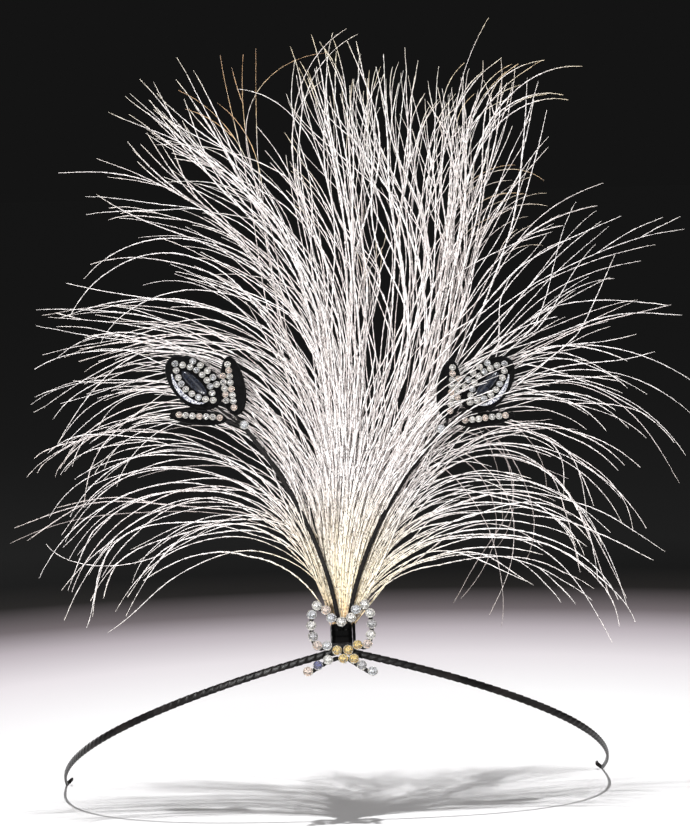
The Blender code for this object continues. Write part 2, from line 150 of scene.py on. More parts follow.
@dataclass(frozen=True)
class Finish:
    """A material with a name; each kind of finish adds its own nodes."""

    name: str

    def material(self) -> bpy.types.Material:
        """Return the finish's material, made once.

        Returns:
            The Blender material.
        """
        found = bpy.data.materials.get(self.name)
        if found is None:
            found = bpy.data.materials.new(self.name)
            found.use_nodes = True
            tree = found.node_tree
            place = add_node(tree, "ShaderNodeTexCoord").outputs["Object"]
            feed(tree, tree.nodes["Principled BSDF"], self.dress(tree, place))
        return found

    def dress(self, tree: bpy.types.NodeTree, place: bpy.types.NodeSocket) -> dict:
        """Add the finish's own nodes.

        Args:
            tree: The material's node tree.
            place: The socket that gives the place on the piece.

        Returns:
            The shader's inputs, as feed takes them.
        """
        raise NotImplementedError

    def put_on(self, piece: bpy.types.Object) -> None:
        """Give the piece this finish."""
        piece.data.materials.append(self.material())


@dataclass(frozen=True)
class WoundTape(Finish):
    """Cotton or satin tape wound on wire: near black, with a grey satin glint and fine threads."""

    dark: str = "#0B0909"
    worn: str = "#2A2423"
    roughness: float = 0.42
    patch: float = 6 * MM
    thread: float = 0.28 * MM  # drawn about twice as coarse as the real thread, to show at all
    glint: float = 0.5

    def dress(self, tree: bpy.types.NodeTree, place: bpy.types.NodeSocket) -> dict:
        """Mottled black, fine thread bumps and a soft satin gloss."""
        patches, threads = (
            add_node(tree, "ShaderNodeTexNoise", {"Vector": place, "Scale": 1 / size, "Detail": detail})
            for size, detail in ((self.patch, 3.0), (self.thread, 2.0))
        )
        colour = add_node(
            tree, "ShaderNodeValToRGB", {"Fac": patches}, stops=((0.42, self.dark), (0.78, self.worn))
        )
        rough = add_node(
            tree, "ShaderNodeMapRange",
            {"Value": threads, "To Min": self.roughness - 0.1, "To Max": self.roughness + 0.12},
        )
        bump = add_node(tree, "ShaderNodeBump", {"Height": threads, "Strength": 0.6, "Distance": 0.06 * MM})
        return {"Base Color": colour, "Roughness": rough, "Normal": bump, "Specular IOR Level": self.glint}


@dataclass(frozen=True)
class Velvet(Finish):
    """Cut silk velvet: deep black that turns grey where the pile is seen from its side."""

    pile: float = 0.35 * MM  # clumps of pile, coarser than single threads so that they show
    nap: float = 3 * MM

    def dress(self, tree: bpy.types.NodeTree, place: bpy.types.NodeSocket) -> dict:
        """Black pile in clumps, with the sheen of velvet."""
        clumps, nap = (
            add_node(tree, "ShaderNodeTexNoise", {"Vector": place, "Scale": 1 / size, "Detail": detail})
            for size, detail in ((self.pile, 3.0), (self.nap, 1.0))
        )
        shade = add_node(tree, "ShaderNodeMath", {0: clumps, 1: nap}, operation="MULTIPLY")
        colour = add_node(
            tree, "ShaderNodeValToRGB", {"Fac": shade}, stops=((0.18, "#020202"), (0.50, "#0C0B0D"))
        )
        bump = add_node(tree, "ShaderNodeBump", {"Height": clumps, "Strength": 0.8, "Distance": 0.12 * MM})
        return {
            "Base Color": colour, "Normal": bump, "Roughness": 0.85, "Specular IOR Level": 0.1,
            "Sheen Weight": 0.06, "Sheen Roughness": 0.35,
        }


@dataclass(frozen=True)
class JetSatin(Finish):
    """Satin drawn over a fold: glossy, with a cold bluish light along it."""

    deep: str = "#0D0E14"
    # the lighter tone of the ribs; on the turned satin edge it is white, a painted highlight
    light: str = "#2B303C"
    rib: float = 0.4 * MM

    def dress(self, tree: bpy.types.NodeTree, place: bpy.types.NodeSocket) -> dict:
        """Bluish black with the fine ribs of satin."""
        ribs = add_node(tree, "ShaderNodeTexNoise", {"Vector": place, "Scale": 1 / self.rib, "Detail": 1.0})
        colour = add_node(
            tree, "ShaderNodeValToRGB", {"Fac": ribs}, stops=((0.35, self.deep), (0.75, self.light))
        )
        bump = add_node(tree, "ShaderNodeBump", {"Height": ribs, "Strength": 0.3, "Distance": 0.05 * MM})
        return {
            "Base Color": colour, "Normal": bump, "Roughness": 0.22, "Coat Weight": 0.5,
            "Coat Roughness": 0.15,
        }


@dataclass(frozen=True)
class CutGlass(Finish):
    """Pressed and polished lead glass: clear, with bright facet edges over the foil behind it."""

    tint: Tint = Tint.CLEAR
    haze: float = 1.1 * MM

    def dress(self, tree: bpy.types.NodeTree, place: bpy.types.NodeSocket) -> dict:
        """Clear glass, faintly uneven in colour and polish."""
        haze = add_node(tree, "ShaderNodeTexNoise", {"Vector": place, "Scale": 1 / self.haze, "Detail": 2.0})
        colour = add_node(
            tree, "ShaderNodeValToRGB", {"Fac": haze}, stops=((0.35, self.tint.value[0]), (0.75, "#FFFFFF"))
        )
        polish = add_node(tree, "ShaderNodeMapRange", {"Value": haze, "To Min": 0.0, "To Max": 0.06})
        return {"Base Color": colour, "Roughness": polish, "Transmission Weight": 0.92, "IOR": 1.56}


@dataclass(frozen=True)
class StoneFoil(Finish):
    """Foil on the back of a stone: mirror bright in facets, with darker spots that are partly worn foil and
    partly painted dark reflection.
    """

    tint: Tint = Tint.CLEAR
    wear: float = 0.7 * MM

    def dress(self, tree: bpy.types.NodeTree, place: bpy.types.NodeSocket) -> dict:
        """Bright metal in the stone's colour, patchy with worn foil and painted dark reflections."""
        wear = add_node(tree, "ShaderNodeTexNoise", {"Vector": place, "Scale": 1 / self.wear, "Detail": 2.0})
        # the dark stop is partly worn foil and partly painted dark reflection of the facets
        colour = add_node(
            tree, "ShaderNodeValToRGB", {"Fac": wear}, stops=((0.24, "#2A2725"), (0.34, self.tint.value[1]))
        )
        return {"Base Color": colour, "Metallic": 1.0, "Roughness": 0.1}


@dataclass(frozen=True)
class CupMetal(Finish):
    """Stamped brass cup with a silver wash, dulled by age."""

    patch: float = 0.9 * MM

    def dress(self, tree: bpy.types.NodeTree, place: bpy.types.NodeSocket) -> dict:
        """Greyed silver with yellow brass showing through in places."""
        age = add_node(tree, "ShaderNodeTexNoise", {"Vector": place, "Scale": 1 / self.patch, "Detail": 3.0})
        colour = add_node(
            tree, "ShaderNodeValToRGB", {"Fac": age},
            stops=((0.32, "#B4B0A8"), (0.52, "#F0EEEA"), (0.78, "#E8DCB8")),
        )
        rough = add_node(tree, "ShaderNodeMapRange", {"Value": age, "To Min": 0.4, "To Max": 0.65})
        return {"Base Color": colour, "Roughness": rough, "Metallic": 0.6}


@dataclass(frozen=True)
class FeatherStrand(Finish):
    """Bleached feather strands: chalky white, cream and tan at the root, tan at some tips.

    The strand's own map gives its colour: across it the warmth, up it the strand's shade.
    """

    fuzz: float = 0.45 * MM  # the barbs along a strand, drawn coarser than they are

    def dress(self, tree: bpy.types.NodeTree, place: bpy.types.NodeSocket) -> dict:
        """Warmth and shade from the strand's map, with fine barbs as bump."""
        chart = add_node(tree, "ShaderNodeUVMap", uv_map="strand")
        parts = add_node(tree, "ShaderNodeSeparateXYZ", {"Vector": chart})
        warm = add_node(
            tree, "ShaderNodeValToRGB", {"Fac": parts.outputs["X"]},
            stops=((0.0, "#FBF6F4"), (0.40, "#F8EDD0"), (0.72, "#ECCB98"), (1.0, "#CA9E6E")),
        )
        shade = add_node(
            tree, "ShaderNodeValToRGB", {"Fac": parts.outputs["Y"]},
            stops=((0.0, "#FFFFFF"), (0.5, "#F4EEEC"), (1.0, "#A39A97")),
        )
        both = add_node(
            tree, "ShaderNodeMix", {0: 1.0, 6: warm, 7: shade}, data_type="RGBA", blend_type="MULTIPLY"
        )
        barbs = add_node(tree, "ShaderNodeTexNoise", {"Vector": place, "Scale": 1 / self.fuzz, "Detail": 1.0})
        bump = add_node(tree, "ShaderNodeBump", {"Height": barbs, "Strength": 0.5, "Distance": 0.1 * MM})
        return {
            "Base Color": both.outputs[2], "Normal": bump, "Roughness": 0.55, "Sheen Weight": 0.3,
            "Sheen Roughness": 0.5,
        }


@dataclass(frozen=True)
class StudioPaper(Finish):
    """Matt paper on the floor: pale under the crown, with painted shade that falls into the dark far behind
    it, in place of the lights' falloff.
    """

    # the oval of the painted pool of light, and where its painted shade begins and where it turns dark
    glow_side: float = 0.04
    glow_narrow: float = 1.5
    pale_to: float = 0.22
    dark_from: float = 0.85

    def dress(self, tree: bpy.types.NodeTree, place: bpy.types.NodeSocket) -> dict:
        """Painted shade that darkens away from an oval, a little to the right, and a painted glow of the
        room's tone far off.
        """
        squeezed = add_node(
            tree, "ShaderNodeVectorMath", {0: place, 1: (self.glow_narrow, 1.0, 1.0)}, operation="MULTIPLY"
        )
        reach = add_node(
            tree, "ShaderNodeVectorMath", {0: squeezed, 1: (self.glow_side, 0.0, 0.0)}, operation="DISTANCE"
        )
        part = add_node(
            tree, "ShaderNodeMapRange",
            {"Value": reach.outputs["Value"], "From Min": self.pale_to, "From Max": self.dark_from},
        )
        colour = add_node(tree, "ShaderNodeValToRGB", {"Fac": part}, stops=(
            (0.0, "#F6F5F6"), (0.18, "#E6E0E4"), (0.33, "#BDB4BA"), (0.45, "#736B6E"), (0.60, "#211F1E"),
            (0.75, "#070707"),
        ))
        # painted light: the lights fade with distance, and the paper's far part glows with the dark room's
        # own tone in their place
        painted_room_glow = add_node(
            tree, "ShaderNodeValToRGB", {"Fac": part}, stops=((0.55, "#000000"), (1.0, "#141414"))
        )
        return {
            "Base Color": colour, "Emission Color": painted_room_glow, "Emission Strength": 1.0, "Roughness": 0.9,
            "Specular IOR Level": 0.1,
        }


BAND_TAPE = WoundTape("satin_tape_wound_on_band", dark="#040303", worn="#1E1A19", roughness=0.34, glint=0.16)
WIRE_TAPE = WoundTape("cotton_tape_wound_on_wire", worn="#1A1615", roughness=0.5, glint=0.2)
KNOT_RIBBON = WoundTape(
    "satin_ribbon_wound_on_knot", dark="#020202", worn="#070606", roughness=0.3, glint=0.07
)
LEAF_VELVET = Velvet("cut_silk_velvet")
LEAF_SATIN = JetSatin("folded_black_satin")
# a fold of satin whose pale bluish white base colour is a painted highlight
SATIN_EDGE_PAINTED_HIGHLIGHT = JetSatin("turned_pale_satin_edge", deep="#2E3454", light="#FFFFFF")
STONE_CUP = CupMetal("silver_washed_brass_cup")
STRANDS = FeatherStrand("bleached_feather_strand")
GLASS = {tint: CutGlass(f"cut_glass_{tint.name.lower()}", tint) for tint in Tint}
FOIL = {tint: StoneFoil(f"stone_foil_{tint.name.lower()}", tint) for tint in Tint}
PAPER = StudioPaper("matt_studio_paper")


# Lines and places


@dataclass(frozen=True)
class PlumeFrame:
    """The leaning frame of the bow and the plume, at the front of the band."""

    front_point: tuple[float, float, float] = (0.0, -86 * MM, 48 * MM)
    lean: float = radians(26)

    def matrix(self) -> Matrix:
        """Work out where the frame stands.

        Returns:
            The world matrix whose X, Y, Z are side, back and up.
        """
        up = Vector((0, sin(self.lean), cos(self.lean)))
        back = Vector((0, cos(self.lean), -sin(self.lean)))
        axes = Matrix((Vector((1, 0, 0)), back, up)).transposed()
        return Matrix.Translation(self.front_point) @ axes.to_4x4()

    def point(self, side: float, height: float, front: float) -> Vector:
        """World place of a point given by side, height and front."""
        return self.matrix() @ Vector((side, -front, height))


PLUME_FRAME = PlumeFrame()


def resample(points: Sequence[Vector], count: int) -> list[Vector]:
    """Space points evenly along the line through the given ones.

    Args:
        points: The line's points.
        count: How many points to return.

    Returns:
        The evenly spaced points, with both ends kept.
    """
    reach = [0.0]
    for first, second in zip(points, points[1:]):
        reach.append(reach[-1] + (second - first).length)
    even = []
    index = 0
    for step in range(count):
        target = reach[-1] * step / (count - 1)
        while index < len(points) - 2 and reach[index + 1] < target:
            index += 1
        part = (target - reach[index]) / (reach[index + 1] - reach[index])
        even.append(points[index].lerp(points[index + 1], min(max(part, 0.0), 1.0)))
    return even


def smooth_line(seats: Sequence[Vector], count: int) -> list[Vector]:
    """Lay a smooth line through the seats.

    Args:
        seats: The points to pass.
        count: How many points to return.

    Returns:
        Evenly spaced points of the line.
    """
    ends = [seats[0] * 2 - seats[1], *seats, seats[-1] * 2 - seats[-2]]
    steps = 8  # from one seat to the next
    fine = []
    for a, b, c, d in zip(ends, ends[1:], ends[2:], ends[3:]):
        for step in range(steps):
            t = step / steps
            fine.append(0.5 * (
                2 * b + (c - a) * t + (2 * a - 5 * b + 4 * c - d) * t**2 + (3 * b - a - 3 * c + d) * t**3
            ))
    fine.append(seats[-1].copy())
    return resample(fine, count)


def through_four(values: Sequence[float], part: np.ndarray) -> np.ndarray:
    """Read the smooth curve through four values that stand at 0, a third, two thirds and 1."""
    return np.polyval(np.polyfit((0, 1 / 3, 2 / 3, 1), values, 3), part)


def unit(rows: np.ndarray) -> np.ndarray:
    """Bring each row to a length of 1."""
    return rows / (np.linalg.norm(rows, axis=1, keepdims=True) + 1e-12)


# Pieces


def select_only(*pieces: bpy.types.Object) -> None:
    """Select pieces alone.

    Args:
        *pieces: The pieces, the first of which becomes the active one.
    """
    bpy.ops.object.select_all(action="DESELECT")
    for piece in pieces:
        piece.select_set(True)
    bpy.context.view_layer.objects.active = pieces[0]


def apply_modifiers(piece: bpy.types.Object) -> None:
    """Apply every modifier of a piece, in order.

    Args:
        piece: The piece.
    """
    select_only(piece)
    for modifier in list(piece.modifiers):
        bpy.ops.object.modifier_apply(modifier=modifier.name)


def move_mesh(piece: bpy.types.Object, matrix: Matrix) -> None:
    """Put the piece's place into its mesh, so that its object stays at the origin."""
    piece.data.transform(matrix)
    piece.data.update()


def primitive(add: Callable, scale: Sequence[float] = (1, 1, 1), **settings) -> bpy.types.Object:
    """Add a primitive, selected alone, with its place and scale put into its mesh.

    Args:
        add: Blender's operator for the primitive.
        scale: Its scale.
        **settings: The operator's settings.

    Returns:
        The new piece.
    """
    bpy.ops.object.select_all(action="DESELECT")
    add(**settings)
    piece = bpy.context.object
    piece.scale = scale
    bpy.ops.object.transform_apply(location=True, rotation=True, scale=True)
    return piece


@contextmanager
def edit_mode(piece: bpy.types.Object, wanted: Callable | None = None) -> Iterator[None]:
    """Work on a piece in edit mode, and leave that mode again.

    Args:
        piece: The piece.
        wanted: Which faces to select, or none for all.
    """
    select_only(piece)
    bpy.ops.object.mode_set(mode="EDIT")
    bpy.ops.mesh.select_all(action="DESELECT" if wanted else "SELECT")
    if wanted:
        bpy.ops.object.mode_set(mode="OBJECT")
        for face in piece.data.polygons:
            face.select = wanted(face)
        bpy.ops.object.mode_set(mode="EDIT")
    yield
    bpy.ops.object.mode_set(mode="OBJECT")


def extrude(*move: float) -> None:
    """Extrude what is selected by a move along X, Y and Z."""
    bpy.ops.mesh.extrude_region_move(TRANSFORM_OT_translate={"value": move})


def swell(x: float, y: float, z: float) -> None:
    """Scale what is selected about its own middle."""
    bpy.ops.transform.resize(value=(x, y, z))


def face_out(piece: bpy.types.Object) -> None:
    """Turn every face of a piece outwards."""
    with edit_mode(piece):
        bpy.ops.mesh.normals_make_consistent(inside=False)


def join(name: str, pieces: Sequence[bpy.types.Object]) -> bpy.types.Object:
    """Join pieces into one object.

    Args:
        name: The new piece's name.
        pieces: The pieces, the first of which is kept.

    Returns:
        The joined piece.
    """
    select_only(*pieces)
    bpy.ops.object.join()
    pieces[0].name = name
    pieces[0].data.name = name
    return pieces[0]


def hand_over(piece: bpy.types.Object, node: str, slot: Slot) -> None:
    """Let a finished piece ride on the crown and stand for its CAD node.

    Args:
        piece: The piece, in place.
        node: The CAD node that it stands for.
        slot: The record's slot; not used.
    """
    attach(piece, BODY)
    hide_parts(node)
    piece.data.calc_loop_triangles()
    log.info("%s: %d triangles, stands for %s", piece.name, len(piece.data.loop_triangles), node)


def new_mesh_object(name: str, corners: Sequence, faces: Sequence) -> bpy.types.Object:
    """Make a mesh object and link it to the scene.

    Args:
        name: The piece's name.
        corners: The places of its corners.
        faces: The corners' numbers, face by face.

    Returns:
        The new piece.
    """
    mesh = bpy.data.meshes.new(name)
    mesh.from_pydata(corners, [], faces)
    mesh.validate()
    mesh.update()
    piece = bpy.data.objects.new(name, mesh)
    bpy.context.scene.collection.objects.link(piece)
    return piece


# Wound wires


@dataclass
class WoundWire:
    """Wire wound with tape. One turn is modelled, repeated, and laid along its line."""

    finish: Finish
    width: float
    height: float
    turn: float
    squareness: float = 1.0  # 1 is a round section, less is squarer
    slant: float = 0.35
    lip: float = 0.09
    corners: int = 12
    # how far along the turn, and how thick the tape stands there in parts of the lip
    profile: tuple = ((0.0, -1.0), (0.30, -0.1), (0.62, 0.5), (0.86, 1.0), (0.95, 0.55), (1.0, -1.0))
    merge_within: float = 0.01 * MM
    smooth_under: float = radians(55)

    def one_turn(self, turn: float) -> bpy.types.Object:
        """Model one turn of tape along +X.

        Args:
            turn: Length of the turn.

        Returns:
            The open ring of tape.
        """
        ring = primitive(
            bpy.ops.mesh.primitive_circle_add, vertices=self.corners,
            radius=1 + self.lip * self.profile[0][1], fill_type="NOTHING", rotation=(0, pi / 2, 0),
        )
        with edit_mode(ring):
            for (before, thin), (after, thick) in zip(self.profile, self.profile[1:]):
                extrude((after - before) * turn, 0, 0)
                growth = (1 + self.lip * thick) / (1 + self.lip * thin)
                swell(1, growth, growth)
        for vertex in ring.data.vertices:
            across, up = vertex.co.y, vertex.co.z
            reach = hypot(across, up)
            squared = [copysign(abs(part / reach) ** self.squareness, part) * reach for part in (across, up)]
            vertex.co.x += self.slant * turn * up
            vertex.co.y = squared[0] * self.width / 2
            vertex.co.z = squared[1] * self.height / 2
        return ring

    def along(
        self, name: str, line: Sequence[Vector], factors: Sequence[float] | None = None
    ) -> bpy.types.Object:
        """Wind the wire along a line of points.

        Args:
            name: The piece's name.
            line: World points of the wire's mid-line.
            factors: Thickness at each point, or none for an even wire.

        Returns:
            The closed, wound wire in its finish.
        """
        factors = factors or [1.0] * len(line)
        curve = bpy.data.curves.new(f"{name}_line", "CURVE")
        curve.dimensions = "3D"
        curve.twist_mode = "Z_UP"
        spline = curve.splines.new("POLY")
        spline.points.add(len(line) - 1)
        for target, place, factor in zip(spline.points, line, factors):
            target.co = (*place, 1.0)
            target.radius = factor
        guide = bpy.data.objects.new(f"{name}_line", curve)
        bpy.context.scene.collection.objects.link(guide)
        length = sum((second - first).length for first, second in zip(line, line[1:]))
        turns = max(2, round(length / self.turn))
        wire = self.one_turn(length / turns)
        repeat = wire.modifiers.new("turns", "ARRAY")
        repeat.count = turns
        repeat.use_relative_offset = False
        repeat.use_constant_offset = True
        repeat.constant_offset_displace = (length / turns, 0, 0)
        repeat.use_merge_vertices = True
        repeat.merge_threshold = self.merge_within
        follow = wire.modifiers.new("line", "CURVE")
        follow.object = guide
        follow.deform_axis = "POS_X"
        apply_modifiers(wire)
        bpy.data.objects.remove(guide, do_unlink=True)
        with edit_mode(wire):
            bpy.ops.mesh.fill_holes(sides=0)
            bpy.ops.mesh.normals_make_consistent(inside=False)
        bpy.ops.object.shade_smooth_by_angle(angle=self.smooth_under)
        wire.name = name
        wire.data.name = name
        self.finish.put_on(wire)
        return wire


# Head band


@dataclass
class HeadBand:
    """The thin half circlet: a flat wire wound in satin tape, with a small roll at each end."""

    half_width: float = 82 * MM
    depth: float = 86 * MM
    rise: float = 48 * MM
    squareness: float = 3.0
    sag: float = 0.04  # in parts of the rise
    points: int = 110
    tip_scale: float = 0.55  # thickness at the tips
    taper_from: float = 0.55  # part of the way from the front to a tip
    curl_radius: float = 1.15 * MM
    curl_turn: float = radians(205)
    curl_points: int = 12
    curl_inward: tuple = (-0.75, 0.0, 0.66)
    wire: WoundWire = field(default_factory=lambda: WoundWire(
        BAND_TAPE, 1.15 * MM, 2.05 * MM, turn=2.6 * MM, squareness=0.62, slant=0.45, lip=0.075, corners=14,
    ))

    def half_line(self) -> list[Vector]:
        """Lay one half of the mid-line.

        Returns:
            Its points from the front to the end.
        """
        rough = []
        steps = 400
        for step in range(steps + 1):
            turn = pi / 2 * step / steps
            rough.append(Vector((
                self.half_width * sin(turn) ** (2 / self.squareness),
                -self.depth * max(cos(turn), 0.0) ** (2 / self.squareness),
                0.0,
            )))
        half = resample(rough, self.points)
        for index, point in enumerate(half):
            part = index / (self.points - 1)
            point.z = self.rise * (1 - part + self.sag * sin(2 * pi * part))
        return half

    def roll(self, end: Vector, before: Vector) -> list[Vector]:
        """Roll the end in and up.

        Args:
            end: The last point of the mid-line.
            before: The point before it.

        Returns:
            The further points of the mid-line.
        """
        ahead = (end - before).normalized()
        inward = Vector(self.curl_inward)
        inward = (inward - ahead * inward.dot(ahead)).normalized()
        centre = end + inward * self.curl_radius
        turns = [self.curl_turn * index / self.curl_points for index in range(1, self.curl_points + 1)]
        return [centre + (ahead * sin(turn) - inward * cos(turn)) * self.curl_radius for turn in turns]

    def build(self) -> None:
        """Wind the band and hand it over."""
        half = self.half_line()
        right = half + self.roll(half[-1], half[-2])
        left = [Vector((-point.x, point.y, point.z)) for point in reversed(right[1:])]
        line = left + right
        middle = len(left)
        factors = []
        for index in range(len(line)):
            part = min(abs(index - middle) / (self.points - 1), 1.0)
            thin = max(0.0, (part - self.taper_from) / (1 - self.taper_from))
            factors.append(1 - (1 - self.tip_scale) * thin)
        band = self.wire.along("wound_head_band", line, factors)
        hand_over(band, "head_band", Slot.BAND)


# Cut stones


@dataclass
class CutStone:
    """A round cut stone in its cup: clear facets over a foiled back, held in a thin metal rim."""

    width: float
    height: float
    # part of the width, part of the height from the seat, turn in parts of a facet, corners
    crown: tuple = ((0.58, 1.0, 0.0, 8), (0.82, 0.84, 0.5, 8), (1.0, 0.66, 0.0, 16))
    back: tuple = ((1.0, 0.58, 0.0, 16), (0.66, 0.24, 0.5, 8), (0.30, 0.06, 0.0, 8))
    # a bowl whose hollow side faces the front, so that its facets show through the crown
    foil: tuple = (
        (0.26, 0.15, 0.0, 8), (0.62, 0.31, 0.5, 8), (0.99, 0.54, 0.0, 16), (0.66, 0.24, 0.5, 8),
        (0.30, 0.06, 0.0, 8),
    )
    foil_gap: float = 0.03 * MM  # between the glass and the foil, to the side
    gap_flatness: float = 0.4  # the gap before and behind, in parts of that
    facets: int = 8
    rim: float = 0.09 * MM
    # the cup's foot and mouth in parts of the width, its bowl, rim and hollow in parts of the height
    cup_foot: float = 0.62
    cup_mouth: float = 0.97
    cup_base: float = 0.16 * MM  # thickness of its base, whose middle lies a little behind the seat
    cup_back: float = 0.02 * MM
    bowl_height: float = 0.45
    rim_height: float = 0.2
    hollow_depth: float = 0.38
    hollow_foot: float = 0.55  # in parts of the mouth
    claws: int = 4
    claw_width: float = 0.30 * MM
    claw_thickness: float = 0.16 * MM
    claw_length: float = 0.42  # in parts of the height
    claw_level: float = 0.60
    claw_bevel: float = 0.05 * MM
    claw_bend: float = 0.17 * MM

    def skin(self, upper: list[int], lower: list[int]) -> list[tuple]:
        """Facets between two levels, of which one may have twice the corners of the other.

        Args:
            upper: Numbers of the front level's corners.
            lower: Numbers of the back level's corners.

        Returns:
            The facets: stars between two levels of the facets' number, plain ones between wider levels.
        """
        faces = []
        few, many = sorted((upper, lower), key=len)
        for index, corner in enumerate(few):
            after = (index + 1) % len(few)
            if len(few) < len(many):
                fan = [many[(2 * index + step) % len(many)] for step in (0, 1, 2)] + [few[after]]
                faces += [(corner, *pair) for pair in zip(fan, fan[1:])]
            elif len(few) == self.facets:
                faces.append((upper[index], lower[index], upper[after]))
                faces.append((upper[after], lower[index], lower[after]))
            else:
                faces.append((upper[index], lower[index], lower[after], upper[after]))
        return faces

    def shell(self, name: str, levels: Sequence[tuple], inset: float, finish: Finish) -> bpy.types.Object:
        """Make a closed shell over the given levels, facing -Y with its seat at Y = 0.

        Args:
            name: The piece's name.
            levels: The levels' rows, from the front to the back.
            inset: How far inside the stone's surface.
            finish: What it is made of.

        Returns:
            The shell.
        """
        corners: list[tuple] = []
        loops: list[list[int]] = []
        facet = 2 * pi / self.facets
        for spread, level, turn, count in levels:
            loops.append(list(range(len(corners), len(corners) + count)))
            radius = self.width / 2 * spread - inset
            front = -self.height * level - inset * self.gap_flatness
            for index in range(count):
                angle = facet / 4 + 2 * pi * index / count + turn * facet
                corners.append((radius * cos(angle), front, radius * sin(angle)))
        faces = [tuple(loops[0]), tuple(reversed(loops[-1]))]
        for upper, lower in zip(loops, loops[1:]):
            faces += self.skin(upper, lower)
        piece = new_mesh_object(name, corners, faces)
        face_out(piece)
        finish.put_on(piece)
        return piece

    def cup(self) -> bpy.types.Object:
        """Stamp the cup: a bowl under the stone with a rim that stands round its girdle.

        Returns:
            The cup, facing -Y.
        """
        cup = primitive(
            bpy.ops.mesh.primitive_cylinder_add, vertices=20, radius=self.width / 2 * self.cup_foot,
            depth=self.cup_base, location=(0, self.cup_back, 0), rotation=(pi / 2, 0, 0),
        )
        with edit_mode(cup, lambda face: face.normal.y < -0.9):
            flare = self.cup_mouth / self.cup_foot
            extrude(0, -self.height * self.bowl_height, 0)
            swell(flare, 1, flare)
            extrude(0, -self.height * self.rim_height, 0)
            bpy.ops.mesh.inset(thickness=self.rim)
            extrude(0, self.height * self.rim_height, 0)
            extrude(0, self.height * self.hollow_depth, 0)
            swell(self.hollow_foot, 1, self.hollow_foot)
        bpy.ops.object.shade_smooth_by_angle(angle=radians(40))
        STONE_CUP.put_on(cup)
        return cup

    def claw(self, index: int) -> bpy.types.Object:
        """Bend one claw of the cup over the girdle.

        Args:
            index: Its number round the cup.

        Returns:
            The claw.
        """
        size = (self.claw_width, self.height * self.claw_length, self.claw_thickness)
        claw = primitive(bpy.ops.mesh.primitive_cube_add, size, size=1)
        with edit_mode(claw):
            bpy.ops.mesh.bevel(offset=self.claw_bevel, segments=1)
        for vertex in claw.data.vertices:
            if vertex.co.y < 0:
                vertex.co.z -= self.claw_bend
        place = Matrix.Rotation(2 * pi * (index + 0.5) / self.claws, 4, "Y")
        reach = Matrix.Translation((0, -self.height * self.claw_level, self.width / 2 * self.cup_mouth))
        move_mesh(claw, place @ reach)
        STONE_CUP.put_on(claw)
        return claw

    def build(self, name: str, tint: Tint, claws: bool = True) -> bpy.types.Object:
        """Model the stone with its foil and its cup, facing -Y with its seat at the origin.

        Args:
            name: The piece's name.
            tint: The stone's colour.
            claws: Whether the cup has claws.

        Returns:
            The joined piece with its finishes.
        """
        glass = self.shell(name, self.crown + self.back, 0.0, GLASS[tint])
        foil = self.shell(f"{name}_foil", self.foil, self.foil_gap, FOIL[tint])
        grips = [self.claw(index) for index in range(self.claws if claws else 0)]
        return join(name, [glass, foil, self.cup(), *grips])


# Bow


